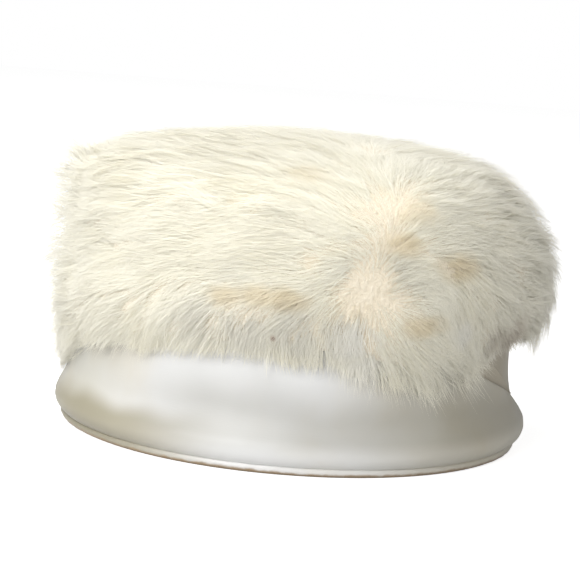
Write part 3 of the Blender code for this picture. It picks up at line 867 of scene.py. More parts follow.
TOP_COMBING = [
    {"x": -70, "y": -40, "to_x": -1.0, "to_y": 0.25},
    {"x": -70, "y": 30, "to_x": -1.0, "to_y": 0.35},
    {"x": -30, "y": -70, "to_x": -1.0, "to_y": 0.10},
    {"x": -30, "y": -20, "to_x": -1.0, "to_y": 0.15},
    {"x": -30, "y": 40, "to_x": -0.8, "to_y": 0.60},
    {"x": 10, "y": -75, "to_x": -0.9, "to_y": 0.15},
    {"x": 8, "y": -30, "to_x": -0.8, "to_y": 0.30},
    {"x": 0, "y": 15, "to_x": -0.5, "to_y": 0.80},
    {"x": 44, "y": -75, "to_x": 0.8, "to_y": 0.10},
    {"x": 40, "y": -30, "to_x": 0.9, "to_y": 0.30},
    {"x": 70, "y": -20, "to_x": 1.0, "to_y": 0.20},
    {"x": 60, "y": 40, "to_x": 0.9, "to_y": 0.60},
    {"x": 25, "y": 30, "to_x": 0.5, "to_y": 0.80},
    {"x": 10, "y": 75, "to_x": 0.1, "to_y": 1.00},
    {"x": -50, "y": 70, "to_x": -0.6, "to_y": 0.90},
]


def seen_guide(row):
    """A row read off the photograph as a place on the fur and a direction along it."""
    turn = camera.rotation_euler.to_matrix()
    focal = CAMERA_LENS / camera_data.sensor_width * PHOTO_SIDE
    middle = PHOTO_SIDE / 2
    ray = (turn @ Vector((row["across"] - middle, middle - row["down"], -focal))).normalized()
    place, facing = comb_tree.ray_cast(CAMERA_PLACE, ray)[:2]
    seen = turn @ Vector((row["right"], row["up"], 0))
    along = seen - ray * seen.dot(facing) / min(SHALLOWEST, ray.dot(facing))
    return place, along.normalized()


def combing_guides():
    """The tables as (place, direction) pairs."""
    guides = [seen_guide(row) for row in SEEN_COMBING]
    for row in COMBING:
        place = side_hit(math.radians(row["angle"]), row["height"] * MM)
        if place:
            guides.append((place, Vector((row["x"], row["y"], row["z"])).normalized()))
    for row in TOP_COMBING:
        place = pile_hit(Vector((row["x"] * MM, row["y"] * MM, FAR)), Vector((0, 0, -1)))
        guides.append((place, Vector((row["to_x"], row["to_y"], 0)).normalized()))
    return guides


guides = combing_guides()


def combed(point, facing):
    """The way the hair is combed at a point, laid along the surface."""
    total = Vector((0, 0, 0))
    for place, direction in guides:
        away = (point - place).length_squared / NEAR**2
        total += direction / (away + EVENNESS) ** FALL_OFF
    total.normalize()
    total -= facing * total.dot(facing)
    return total.normalized()


print(len(guides), "places combed by hand")

# %% [markdown]
# ## The comb surface as a mesh
#
# The grid becomes a mesh that is never shown. Its points carry what a hair needs to know at its
# root: the combing, the smooth outward direction, how long the hair may be, how thickly it grows
# and how wildly strays stand off. Towards the hem the hair gets shorter, so that its tips end in
# one fringe, and no hair is rooted on the apron. The front is calm, and both ends are tufted.

# %% Comb mesh
FRINGE = [
    {"angle": 0.0, "drop": -1.5 * MM},
    {"angle": 30.0, "drop": 2.0 * MM},
    {"angle": 180.0, "drop": 2.0 * MM},
    {"angle": 215.0, "drop": 2.0 * MM},
    {"angle": 240.0, "drop": 2.5 * MM},
    {"angle": 274.0, "drop": 4.0 * MM},
    {"angle": 283.0, "drop": 11.0 * MM},
    {"angle": 291.0, "drop": 8.0 * MM},
    {"angle": 300.0, "drop": 10.0 * MM},
    {"angle": 316.0, "drop": 9.0 * MM},
    {"angle": 326.0, "drop": 1.0 * MM},
    {"angle": 343.0, "drop": -1.5 * MM},
    {"angle": 360.0, "drop": -1.5 * MM},
]
WILDNESS = [
    {"angle": 0.0, "low": 2.2, "high": 1.1},
    {"angle": 30.0, "low": 0.9, "high": 0.9},
    {"angle": 165.0, "low": 0.9, "high": 0.9},
    {"angle": 185.0, "low": 1.2, "high": 2.5},
    {"angle": 200.0, "low": 1.1, "high": 2.4},
    {"angle": 220.0, "low": 0.5, "high": 0.5},
    {"angle": 240.0, "low": 0.3, "high": 0.3},
    {"angle": 315.0, "low": 0.45, "high": 0.45},
    {"angle": 328.0, "low": 1.6, "high": 1.2},
    {"angle": 345.0, "low": 2.3, "high": 1.1},
    {"angle": 360.0, "low": 2.2, "high": 1.1},
]
WILD_LOW_TOP = 50 * MM
WILD_HIGH_BOTTOM = 70 * MM
WILDEST = 2.6
TUFTED_RIGHT = {"none": 25 * MM, "full": 60 * MM, "amount": 0.8}
CALM_TOP = 0.5
SHOULDER_TUFTS = 0.4
LONGEST = 24 * MM
SHORTEST_HAIR = 5 * MM
LEAST_FALL = 0.25
ROOT_START, ROOT_CLEAR = 1 * MM, 11 * MM
SURFACE_INSET = 1.8 * MM


def hair_room(point, direction):
    """How long a hair may be here, and how thickly hair grows, from the height above the hem."""
    degrees = math.degrees(math.atan2(point.y, point.x)) % 360
    hem = hems[round(degrees / 360 * PILE_COLUMNS) % PILE_COLUMNS]
    above = point.z - hem
    drop = curve_through(FRINGE, "angle", "drop", degrees)
    falling = max(LEAST_FALL, -direction.z)
    length = min(LONGEST, max(SHORTEST_HAIR, (above + drop) / falling))
    share = min(1.0, max(0.0, (above - ROOT_START) / ROOT_CLEAR))
    return length, share * share * (3 - 2 * share)


def share_between(value, low, high):
    """0 below low, 1 above high and straight in between."""
    return min(1.0, max(0.0, (value - low) / (high - low)))


def wildness(point, facing):
    """How far the stray hairs stand off: flat in front and on top, wild at the ends and shoulders."""
    degrees = math.degrees(math.atan2(point.y, point.x)) % 360
    low = curve_through(WILDNESS, "angle", "low", degrees)
    high = curve_through(WILDNESS, "angle", "high", degrees)
    around = low + (high - low) * share_between(point.z, WILD_LOW_TOP, WILD_HIGH_BOTTOM)
    level = min(1.0, max(0.0, facing.z))
    shoulder = around * (1 + SHOULDER_TUFTS * math.sin(math.pi * level**2))
    right = share_between(point.x, TUFTED_RIGHT["none"], TUFTED_RIGHT["full"])
    tufted = TUFTED_RIGHT["amount"] * right
    return min(WILDEST, shoulder + (CALM_TOP + tufted - shoulder) * level**4)


def write_attribute(mesh, name, kind, key, values):
    """A point attribute filled with one value for each point."""
    attribute = mesh.attributes.new(name, kind, "POINT")
    attribute.data.foreach_set(key, values)


ways = [combed(v.co, facing) for v, facing in zip(comb_mesh.vertices, facings)]
rooms = [hair_room(v.co, way) for v, way in zip(comb_mesh.vertices, ways)]
wilds = [wildness(v.co, facing) for v, facing in zip(comb_mesh.vertices, facings)]
for vertex, facing in zip(comb_mesh.vertices, facings):
    vertex.co -= facing * SURFACE_INSET
for name, vectors in (("facing", facings), ("comb", ways)):
    numbers = [x for vector in vectors for x in vector]
    write_attribute(comb_mesh, name, "FLOAT_VECTOR", "vector", numbers)
write_attribute(comb_mesh, "reach", "FLOAT", "value", [length for length, growth in rooms])
write_attribute(comb_mesh, "growth", "FLOAT", "value", [growth for length, growth in rooms])
write_attribute(comb_mesh, "wild", "FLOAT", "value", wilds)
print("comb mesh:", len(comb_mesh.polygons), "faces")

# %% [markdown]
# ## One hair
#
# A hair is a thin blade of five points and three triangles that ends in a point. Its points
# only say how far across (X) and how far along (Y) they are. The node tree bends every copy
# along its own curve. It also keeps the second number as an attribute, for the material.

# %% Blade
BLADE_ROWS = [(0.0, 0.7), (0.5, 0.9)]


def build_blade():
    bm = bmesh.new()
    rows = [
        (bm.verts.new((-width, along, 0)), bm.verts.new((width, along, 0)))
        for along, width in BLADE_ROWS
    ]
    tip = bm.verts.new((0, 1, 0))
    for (left, right), (next_left, next_right) in zip(rows, rows[1:]):
        bm.faces.new((left, next_left, next_right, right))
    bm.faces.new((rows[-1][0], tip, rows[-1][1]))
    mesh = bpy.data.meshes.new("blade")
    bm.to_mesh(mesh)
    bm.free()
    mesh.shade_smooth()
    return bpy.data.objects.new("blade", mesh)


blade = build_blade()
print("blade:", len(blade.data.vertices), "points")

# %% [markdown]
# ## The hair tree
#
# The tree scatters roots over the comb surface and finds each root's lock, which is the nearest
# point of a second, sparser scatter. It walks each hair over the surface in three steps, always
# along the combing found there, which gives four control points. Hairs of one lock lean together
# towards the tip, and a few stray. In the end the blades are bent along these curves and realized.

# %% Hair tree
HAIR_FIELDS = ("hair_a", "hair_b", "hair_c", "hair_d", "across", "soft_facing")
HAIR_INPUTS = {
    "Hairs": 4.5e6,
    "Start": 0.0,
    "Span": 7.0,
    "Locks": 1.3e4,
    "Tufts": 1.6e5,
    "Lock Pull": 0.22,
    "Tuft Pull": 0.45,
    "Length": 1.0,
    "Lift": 0.10,
    "Highest Lift": 6.5 * MM,
    "Depth": 3.0 * MM,
    "Follow": 0.75,
    "Width": 0.16 * MM,
}
SEEDS = {
    "roots": 11,
    "Lock": 21,
    "Tuft": 31,
    "stray": 41,
    "length": 42,
    "swing": 43,
    "stray swing": 44,
    "jitter": 45,
    "roll": 46,
    "width": 47,
    "tone": 48,
}

# a tuft, or a hair, is a wisp or a stray when its random number is above these
WISPS_ABOVE = 0.90
STRAYS_ABOVE = 0.925

# shares of the length, of the lift, and radians of swing
SHORTEST, SELDOM_LONGER, LOCK_LENGTH, WISP_LENGTH = 0.80, 0.45, 0.12, 0.14
SELDOM = 3.0
LOCK_LIFT, TUFT_LIFT, STRAY_LIFT, WISP_LIFT = 0.40, 0.35, 1.9, 2.4
CALMEST = 0.7
LOCK_SWING, TUFT_SWING, HAIR_SWING, STRAY_SWING = 0.30, 0.16, 0.10, 0.5

# the second to last control points: how much of the lift, of the gathering, and of the jitter
RISES = (0.35, 0.8, 1.0)
GATHERS = (0.15, 0.5, 0.9)
JITTERS = (0.0, 0.5 * MM, 1.1 * MM)

ROLL = 0.4
WIDTHS = (0.35, 0.65)
SOFTNESS = 0.22
LOCK_TONE, HAIR_TONE = 0.5, 0.5


def tree_input(tree, name, kind, value=None):
    socket = tree.interface.new_socket(name, in_out="INPUT", socket_type=kind)
    if value is not None:
        socket.default_value = value


def vector_node(tree, operation, first, second=None, scale=None):
    inputs = {0: first}
    if second is not None:
        inputs[1] = second
    if scale is not None:
        inputs["Scale"] = scale
    outputs = add_node(tree, "ShaderNodeVectorMath", inputs, operation=operation).outputs
    return outputs["Value" if operation == "LENGTH" else "Vector"]


def scaled(tree, vector, amount):
    return vector_node(tree, "SCALE", vector, scale=amount)


def added(tree, *vectors):
    total = vectors[0]
    for vector in vectors[1:]:
        total = vector_node(tree, "ADD", total, vector)
    return total


def blended(tree, first, second, share):
    """first + share * (second - first), for vectors."""
    return added(tree, first, scaled(tree, vector_node(tree, "SUBTRACT", second, first), share))


def rotated(tree, vector, axis, angle):
    inputs = {"Vector": vector, "Center": (0, 0, 0), "Axis": axis, "Angle": angle}
    return add_node(tree, "ShaderNodeVectorRotate", inputs).outputs[0]


def random_number(tree, low, high, seed):
    inputs = {2: low, 3: high, "Seed": seed}
    return add_node(tree, "FunctionNodeRandomValue", inputs, data_type="FLOAT").outputs[1]


def random_vector(tree, seed):
    inputs = {0: (-1, -1, -1), 1: (1, 1, 1), "Seed": seed}
    return add_node(tree, "FunctionNodeRandomValue", inputs, data_type="FLOAT_VECTOR").outputs[0]


def named(tree, name, kind="FLOAT_VECTOR"):
    return add_node(tree, "GeometryNodeInputNamedAttribute", {0: name}, data_type=kind).outputs[0]


def kept(tree, geometry, name, kind, value):
    """Stores a value under a name on points."""
    inputs = {"Geometry": geometry, "Name": name, "Value": value}
    node = add_node(
        tree, "GeometryNodeStoreNamedAttribute", inputs, data_type=kind, domain="POINT"
    )
    return node.outputs["Geometry"]


def value_in(node):
    """The value socket that fits the node's kind of data."""
    return next(s for s in node.inputs if s.name == "Value" and s.enabled)


def value_out(node):
    return next(s for s in node.outputs if s.enabled)


def scattered(tree, surface, density, seed):
    inputs = {"Mesh": surface, "Density": density, "Seed": seed}
    kind = "GeometryNodeDistributePointsOnFaces"
    return add_node(tree, kind, inputs, distribute_method="RANDOM").outputs["Points"]


def rooted(tree, given, place):
    """The roots, of which a piece keeps those in its own sector."""
    density = math_node(tree, "MULTIPLY", named(tree, "growth", "FLOAT"), given["Hairs"])
    roots = scattered(tree, given["Geometry"], density, SEEDS["roots"])
    split = apart(tree, place)
    around = math_node(tree, "ARCTAN2", split["Y"], split["X"])
    turned = math_node(tree, "SUBTRACT", around, given["Start"])
    turned = math_node(tree, "FLOORED_MODULO", turned, math.tau)
    inputs = {0: turned, 1: given["Span"]}
    inside = add_node(tree, "FunctionNodeCompare", inputs, operation="LESS_THAN").outputs[0]
    inputs = {"Geometry": roots, "Selection": inside}
    node = add_node(tree, "GeometryNodeSeparateGeometry", inputs, domain="POINT")
    return node.outputs["Selection"]


def gathering(tree, given, place, kind):
    """The pull towards the nearest lock or tuft, and that one's three random numbers."""
    centres = scattered(tree, given["Geometry"], given[kind + "s"], SEEDS[kind])
    centres = kept(tree, centres, "mood", "FLOAT_VECTOR", random_vector(tree, SEEDS[kind]))
    nearest = add_node(tree, "GeometryNodeSampleNearest", {"Geometry": centres}).outputs[0]
    inputs = {"Geometry": centres, "Index": nearest}
    found = []
    for value in (place, named(tree, "mood")):
        sample = add_node(
            tree, "GeometryNodeSampleIndex", inputs, data_type="FLOAT_VECTOR", domain="POINT"
        )
        tree.links.new(value, value_in(sample))
        found.append(value_out(sample))
    centre, mood = found
    inward = vector_node(tree, "SUBTRACT", centre, place)
    return scaled(tree, inward, given[kind + " Pull"]), apart(tree, mood)


def step_and_lift(tree, given, lock, tuft, stray):
    """A third of each hair's length, and how high its tip stands off."""
    wisp = math_node(tree, "GREATER_THAN", tuft["X"], WISPS_ABOVE)
    longer = random_number(tree, 0.0, 1.0, SEEDS["length"])
    longer = math_node(tree, "POWER", longer, SELDOM)
    varied = math_node(tree, "MULTIPLY_ADD", longer, SELDOM_LONGER, SHORTEST)
    varied = math_node(tree, "MULTIPLY_ADD", lock["X"], LOCK_LENGTH, varied)
    varied = math_node(tree, "MULTIPLY_ADD", wisp, WISP_LENGTH, varied)
    length = math_node(tree, "MULTIPLY", named(tree, "reach", "FLOAT"), varied)
    length = math_node(tree, "MULTIPLY", length, given["Length"])
    lift = math_node(tree, "MULTIPLY_ADD", lock["Y"], LOCK_LIFT, 1.0)
    lift = math_node(tree, "MULTIPLY_ADD", tuft["Y"], TUFT_LIFT, lift)
    wild = named(tree, "wild", "FLOAT")
    loose = math_node(tree, "MULTIPLY", wisp, WISP_LIFT)
    loose = math_node(tree, "MULTIPLY_ADD", stray, STRAY_LIFT, loose)
    lift = math_node(tree, "MULTIPLY_ADD", loose, wild, lift)
    lift = math_node(tree, "MULTIPLY", lift, math_node(tree, "MULTIPLY", length, given["Lift"]))
    highest = math_node(tree, "MAXIMUM", wild, CALMEST)
    highest = math_node(tree, "MULTIPLY", given["Highest Lift"], highest)
    step = math_node(tree, "DIVIDE", length, len(RISES))
    return step, math_node(tree, "MINIMUM", lift, highest)


def swung(tree, lock, tuft, stray):
    """How far each hair turns away from the combing."""
    swing = math_node(tree, "MULTIPLY", tuft["Z"], TUFT_SWING)
    swing = math_node(tree, "MULTIPLY_ADD", lock["Z"], LOCK_SWING, swing)
    own = random_number(tree, -HAIR_SWING, HAIR_SWING, SEEDS["swing"])
    swing = math_node(tree, "ADD", swing, own)
    far = random_number(tree, -STRAY_SWING, STRAY_SWING, SEEDS["stray swing"])
    return math_node(tree, "MULTIPLY_ADD", stray, far, swing)


def on_surface(tree, surface, point, fields):
    """What the fields say at the surface's nearest place to a point."""
    found = []
    for value in fields:
        node = add_node(
            tree, "GeometryNodeSampleNearestSurface", {"Mesh": surface}, data_type="FLOAT_VECTOR"
        )
        tree.links.new(value, value_in(node))
        tree.links.new(point, node.inputs["Sample Position"])
        found.append(value_out(node))
    return found


def walked(tree, given, fields, swing, step, lift):
    """Each hair's four control points, and the outward direction under its tip."""
    place, facing, comb = fields
    depth = math_node(tree, "MULTIPLY", given["Depth"], -1.0)
    controls = [added(tree, place, scaled(tree, facing, depth))]
    here = place
    way = rotated(tree, comb, facing, swing)
    for rise in RISES:
        ahead = added(tree, here, scaled(tree, way, step))
        spot, out, spot_way = on_surface(tree, given["Geometry"], ahead, fields)
        here = blended(tree, ahead, spot, given["Follow"])
        way = rotated(tree, spot_way, out, swing)
        raised = math_node(tree, "MULTIPLY", lift, rise)
        controls.append(added(tree, here, scaled(tree, out, raised)))
    return controls, out


def blade_width(tree, given, facing, flow):
    """The blade's half width, as a vector that is rolled a little about the hair."""
    across = vector_node(tree, "NORMALIZE", vector_node(tree, "CROSS_PRODUCT", facing, flow))
    angle = random_number(tree, -ROLL, ROLL, SEEDS["roll"])
    across = rotated(tree, across, vector_node(tree, "NORMALIZE", flow), angle)
    share = random_number(tree, *WIDTHS, SEEDS["width"])
    return scaled(tree, across, math_node(tree, "MULTIPLY", given["Width"], share))


def bent_blades(tree, given, points, place):
    """A blade at each point, bent along its hair's curve."""
    one = add_node(tree, "GeometryNodeObjectInfo", {"Object": given["Blade"]}).outputs["Geometry"]
    inputs = {"Points": points, "Instance": one}
    copies = add_node(tree, "GeometryNodeInstanceOnPoints", inputs).outputs[0]
    hairs = add_node(tree, "GeometryNodeRealizeInstances", {"Geometry": copies}).outputs[0]
    flat = apart(tree, place)
    hairs = kept(tree, hairs, "along", "FLOAT", flat["Y"])
    along = named(tree, "along", "FLOAT")
    curve = [named(tree, name) for name in HAIR_FIELDS[:4]]
    while len(curve) > 1:
        curve = [blended(tree, *pair, along) for pair in zip(curve, curve[1:])]
    bent = added(tree, curve[0], scaled(tree, named(tree, "across"), flat["X"]))
    inputs = {"Geometry": hairs, "Position": bent}
    hairs = add_node(tree, "GeometryNodeSetPosition", inputs).outputs[0]
    inputs = {"Mesh": hairs, "Custom Normal": named(tree, "soft_facing")}
    kind = "GeometryNodeSetMeshNormal"
    return add_node(tree, kind, inputs, mode="FREE", domain="POINT").outputs[0]


def build_hair_tree():
    tree = bpy.data.node_groups.new("grow_hair", "GeometryNodeTree")
    tree_input(tree, "Geometry", "NodeSocketGeometry")
    for name, value in HAIR_INPUTS.items():
        tree_input(tree, name, "NodeSocketFloat", value)
    tree_input(tree, "Blade", "NodeSocketObject")
    tree_input(tree, "Material", "NodeSocketMaterial")
    tree.interface.new_socket("Geometry", in_out="OUTPUT", socket_type="NodeSocketGeometry")
    given = add_node(tree, "NodeGroupInput").outputs
    place = add_node(tree, "GeometryNodeInputPosition").outputs[0]
    facing = named(tree, "facing")

    # the walk over the surface
    lock_pull, lock = gathering(tree, given, place, "Lock")
    tuft_pull, tuft = gathering(tree, given, place, "Tuft")
    stray = random_number(tree, 0.0, 1.0, SEEDS["stray"])
    stray = math_node(tree, "GREATER_THAN", stray, STRAYS_ABOVE)
    step, lift = step_and_lift(tree, given, lock, tuft, stray)
    swing = swung(tree, lock, tuft, stray)
    fields = (place, facing, named(tree, "comb"))
    controls, out = walked(tree, given, fields, swing, step, lift)

    # gathering towards the tips, and a little jitter
    jitter = random_vector(tree, SEEDS["jitter"])
    moved = [controls[0]]
    for control, gather, amount in zip(controls[1:], GATHERS, JITTERS):
        pulls = scaled(tree, lock_pull, gather), scaled(tree, tuft_pull, gather)
        control = added(tree, control, *pulls)
        moved.append(added(tree, control, scaled(tree, jitter, amount)) if amount else control)

    # what each root remembers about its hair
    flow = vector_node(tree, "SUBTRACT", moved[2], moved[0])
    across = blade_width(tree, given, facing, flow)
    soft_facing = added(tree, facing, out, scaled(tree, jitter, SOFTNESS))
    soft_facing = vector_node(tree, "NORMALIZE", soft_facing)
    points = rooted(tree, given, place)
    for name, value in zip(HAIR_FIELDS, (*moved, across, soft_facing)):
        points = kept(tree, points, name, "FLOAT_VECTOR", value)
    tone = math_node(tree, "MULTIPLY", lock["X"], LOCK_TONE)
    own = random_number(tree, -1.0, 1.0, SEEDS["tone"])
    tone = math_node(tree, "MULTIPLY_ADD", own, HAIR_TONE, tone)
    points = kept(tree, points, "tone", "FLOAT", tone)
    inputs = {"Geometry": points, "Position": (0, 0, 0)}
    points = add_node(tree, "GeometryNodeSetPosition", inputs).outputs[0]

    # the blades, without the attributes that they no longer need
    hairs = bent_blades(tree, given, points, place)
    for name in (*HAIR_FIELDS, "comb", "facing", "reach", "growth", "wild"):
        inputs = {"Geometry": hairs, "Name": name}
        hairs = add_node(tree, "GeometryNodeRemoveAttribute", inputs).outputs[0]
    inputs = {"Geometry": hairs, "Material": given["Material"]}
    hairs = add_node(tree, "GeometryNodeSetMaterial", inputs).outputs[0]
    add_node(tree, "NodeGroupOutput", {"Geometry": hairs})
    return tree


hair_tree = build_hair_tree()
print("hair tree:", len(hair_tree.nodes), "nodes")

# %% [markdown]
# ## The colour of the fur
#
# The fur is a warm cream, paler at the tips; the darker roots are painted shade deep among the hairs.
# Tan shows at the partings, and painted shade makes the fringe greyer where it hangs in the shade. One
# lock is nearly white, two smudges and a speck in the fringe are brown, and the hollow above the lapped
# edge gets a painted shadow, the darkest of all. The material mixes these in by the distance from a few
# places, with their edges pushed about by noise.

# %% Fur material
FUR_TIP = (0.94, 0.912, 0.79)
FUR_ROOT_SHADED = (0.89, 0.86, 0.715)
FUR_TAN = (0.75, 0.60, 0.33)
FUR_BROWN = (0.34, 0.19, 0.13)
FUR_PALE = (0.94, 0.92, 0.84)
FUR_SHADED = (0.66, 0.64, 0.575)
FUR_HOLLOW_SHADOW = (0.42, 0.34, 0.25)
STAINS = [
    {"angle": 291, "height": 86 * MM, "radius": 8 * MM, "amount": 0.60},
    {"angle": 285, "height": 70 * MM, "radius": 7 * MM, "amount": 0.60},
    {"angle": 256, "height": 63 * MM, "radius": 8 * MM, "amount": 0.42},
    {"angle": 262, "height": 64 * MM, "radius": 8 * MM, "amount": 0.46},
    {"angle": 268, "height": 64 * MM, "radius": 8 * MM, "amount": 0.50},
    {"angle": 283, "height": 64 * MM, "radius": 7 * MM, "amount": 0.55},
    {"angle": 305, "height": 78 * MM, "radius": 10 * MM, "amount": 0.52},
    {"angle": 296, "height": 57 * MM, "radius": 8 * MM, "amount": 0.48},
    {"angle": 295, "height": 98 * MM, "radius": 11 * MM, "amount": 0.32},
    {"angle": 271, "height": 108 * MM, "radius": 9 * MM, "amount": 0.20},
]
PALE_LOCKS = [
    {"angle": 282.5, "height": 50.0 * MM, "radius": 9 * MM, "amount": 0.9},
    {"angle": 284.5, "height": 40.0 * MM, "radius": 8 * MM, "amount": 0.8},
    {"angle": 306.0, "height": 53.5 * MM, "radius": 5 * MM, "amount": 0.8},
]
SHADES = [
    {"angle": 287, "height": 76 * MM, "radius": 14 * MM, "amount": 0.35},
    {"angle": 250, "height": 52 * MM, "radius": 10 * MM, "amount": 0.35},
    {"angle": 260, "height": 52 * MM, "radius": 11 * MM, "amount": 0.45},
    {"angle": 270, "height": 52 * MM, "radius": 11 * MM, "amount": 0.45},
    {"angle": 279, "height": 52 * MM, "radius": 10 * MM, "amount": 0.35},
]
# painted shadow in the hollow between the fur and the lapped edge of the satin
HOLLOW_SHADOWS = [
    {"angle": 326, "height": 49 * MM, "radius": 9 * MM, "amount": 0.60},
    {"angle": 319, "height": 48 * MM, "radius": 7 * MM, "amount": 0.40},
]
SPOTS = [
    {"angle": 289.0, "height": 54.0 * MM, "radius": 1.8 * MM, "amount": 0.38},
    {"angle": 288.5, "height": 49.5 * MM, "radius": 1.6 * MM, "amount": 0.42},
    {"angle": 266.0, "height": 50.0 * MM, "radius": 1.2 * MM, "amount": 0.95},
]

FUR_WARM = (0.88, 0.82, 0.60)
DOWN_DARK = (0.72, 0.62, 0.46)
DOWN_PALE = (0.88, 0.81, 0.67)
TIP_START, TIP_FULL = 0.05, 0.7
WARM_START, WARM_FULL, WARM_AMOUNT = 0.1, 1.0, 0.35
SPOT_CLOUD = (160.0, 3.0)
DOWN_CLOUD = (700.0, 4.0)
SPOT_INNER, SPOT_OUTER = 0.3, 1.5
FUR_FINISH = {
    "Roughness": 0.62,
    "Specular IOR Level": 0.35,
    "Sheen Weight": 0.30,
    "Sheen Roughness": 0.5,
}

# each list of spots with its colour, how far noise pushes its edge, and how much it is drawn out
SPOT_COLOURS = [
    (STAINS, FUR_TAN, 9 * MM, 1.9),
    (SHADES, FUR_SHADED, 8 * MM, 1.0),
    (HOLLOW_SHADOWS, FUR_HOLLOW_SHADOW, 6 * MM, 1.0),
    (PALE_LOCKS, FUR_PALE, 6 * MM, 1.0),
    (SPOTS, FUR_BROWN, 2 * MM, 1.0),
]


def spot_share(tree, place, spots, blur, flatness):
    """How much of any of the spots is at a place. A flatness above 1 draws them out sideways."""
    wander = math_node(tree, "SUBTRACT", cloud(tree, place, *SPOT_CLOUD), 0.5)
    wander = math_node(tree, "MULTIPLY", wander, blur)
    share = 0.0
    for spot in spots:
        centre = side_hit(math.radians(spot["angle"]), spot["height"])
        away = vector_node(tree, "SUBTRACT", place, tuple(centre))
        away = vector_node(tree, "MULTIPLY", away, (1, 1, flatness))
        distance = math_node(tree, "ADD", vector_node(tree, "LENGTH", away), wander)
        inner, outer = spot["radius"] * SPOT_INNER, spot["radius"] * SPOT_OUTER
        near = ramp(tree, distance, inner, outer, spot["amount"], 0.0)
        share = math_node(tree, "MAXIMUM", share, near)
    return share


def hair_number(tree, name):
    """A number that each hair carries."""
    return add_node(tree, "ShaderNodeAttribute", attribute_name=name).outputs["Fac"]


fur_material, fur_tree, fur_shader = new_material("fur_hair")
fur_place = place_on_hat(fur_tree)
towards_tip = ramp(fur_tree, hair_number(fur_tree, "along"), TIP_START, TIP_FULL)
warm = ramp(fur_tree, hair_number(fur_tree, "tone"), WARM_START, WARM_FULL)
warm = math_node(fur_tree, "MULTIPLY", warm, WARM_AMOUNT)
# painted shade: the roots are darker, as deep among the hairs, and brighten towards the tip
fur_colour = mix_colours(fur_tree, towards_tip, FUR_ROOT_SHADED, FUR_TIP)
fur_colour = mix_colours(fur_tree, warm, fur_colour, FUR_WARM)
for spots, spot_colour, blur, flatness in SPOT_COLOURS:
    share = spot_share(fur_tree, fur_place, spots, blur, flatness)
    fur_colour = mix_colours(fur_tree, share, fur_colour, spot_colour)
finish_shader(fur_tree, fur_shader, fur_colour, None, FUR_FINISH)

under_material, under_tree, under_shader = new_material("underfur")
down = cloud(under_tree, place_on_hat(under_tree), *DOWN_CLOUD)
under_colour = mix_colours(under_tree, down, DOWN_DARK, DOWN_PALE)
tangle = bump(under_tree, down, 0.8, 0.8 * MM)
finish_shader(under_tree, under_shader, under_colour, tangle, {"Roughness": 0.95})
print("fur materials ready")

# %% [markdown]
# ## The backing
#
# The hairs grow out of a solid backing, the dense down of the pelt. Its outer face lies a little
# under the comb surface, and its inner face just clears the skin and the satin. Together they
# close into one shell that is open only towards the head.

# %% Backing
DOWN_INSET = 2.2 * MM
SKIN_CLEAR = 0.6 * MM
LEAST_DEPTH, OPEN_DEPTH = 0.4 * MM, 12 * MM
ROWS_ABOVE_HEM = 2
CUP_NODES = ("crown_skin", "satin_wrap", "satin_band")
cup_trees = [surface_tree(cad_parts[name].data) for name in CUP_NODES]


def cup_depth(origin, direction):
    """How far it is from a point outside to the first skin or satin."""
    hits = [tree.ray_cast(origin, direction)[3] for tree in cup_trees]
    hits = [h for h in hits if h is not None]
    return min(hits) if hits else None


def inner_place(outer):
    """The inner face's point under an outer one: along the horizontal low down, to the middle above."""
    pivot = Vector((0, 0, min(outer.z, TURN_HEIGHT)))
    inward = (pivot - outer).normalized()
    depth = cup_depth(outer, inward)
    if depth is None:
        depth = OPEN_DEPTH
    return outer + inward * max(LEAST_DEPTH, depth - SKIN_CLEAR)


def build_backing():
    bm = bmesh.new()
    size = len(columns[0])
    first = FIRST_FUR_ROW + ROWS_ABOVE_HEM
    outer_rings = []
    inner_rings = []
    for row in range(first, size):
        outer_ring = []
        inner_ring = []
        for column in range(PILE_COLUMNS):
            index = column * size + row
            outer = columns[column][row] - facings[index] * DOWN_INSET
            outer_ring.append(bm.verts.new(outer))
            inner_ring.append(bm.verts.new(inner_place(outer)))
        outer_rings.append(outer_ring)
        inner_rings.append(inner_ring)
    outer_top = bm.verts.new(crest - Vector((0, 0, DOWN_INSET)))
    inner_top = bm.verts.new(inner_place(outer_top.co))
    for rings in (outer_rings, inner_rings):
        for ring, above in zip(rings, rings[1:]):
            for i in range(PILE_COLUMNS):
                bm.faces.new((ring[i - 1], ring[i], above[i], above[i - 1]))
    for ring, top in ((outer_rings[-1], outer_top), (inner_rings[-1], inner_top)):
        for i in range(PILE_COLUMNS):
            bm.faces.new((ring[i - 1], ring[i], top))
    outer_hem, inner_hem = outer_rings[0], inner_rings[0]
    for i in range(PILE_COLUMNS):
        bm.faces.new((outer_hem[i - 1], outer_hem[i], inner_hem[i], inner_hem[i - 1]))
    bmesh.ops.recalc_face_normals(bm, faces=bm.faces)
    return new_piece("fur_backing", bm, under_material)


fur_backing = build_backing()
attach(fur_backing, "root")
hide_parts("fur_pile")
print("backing:", len(fur_backing.data.polygons), "faces")

# %% [markdown]
# ## Growing the pieces
#
# The tree runs once for each part of the hat. Every run scatters the same roots and keeps those
# in its own sector, so no seam shows. Each result becomes a plain mesh with its modifier gone.

# %% Hair pieces
SECTORS = [
    {"name": "fur_front_left", "start": 205, "end": 250},
    {"name": "fur_front", "start": 250, "end": 290},
    {"name": "fur_front_right", "start": 290, "end": 335},
    {"name": "fur_right", "start": 335, "end": 385},
    {"name": "fur_back_right", "start": 25, "end": 80},
    {"name": "fur_back_left", "start": 80, "end": 145},
    {"name": "fur_left", "start": 145, "end": 205},
]


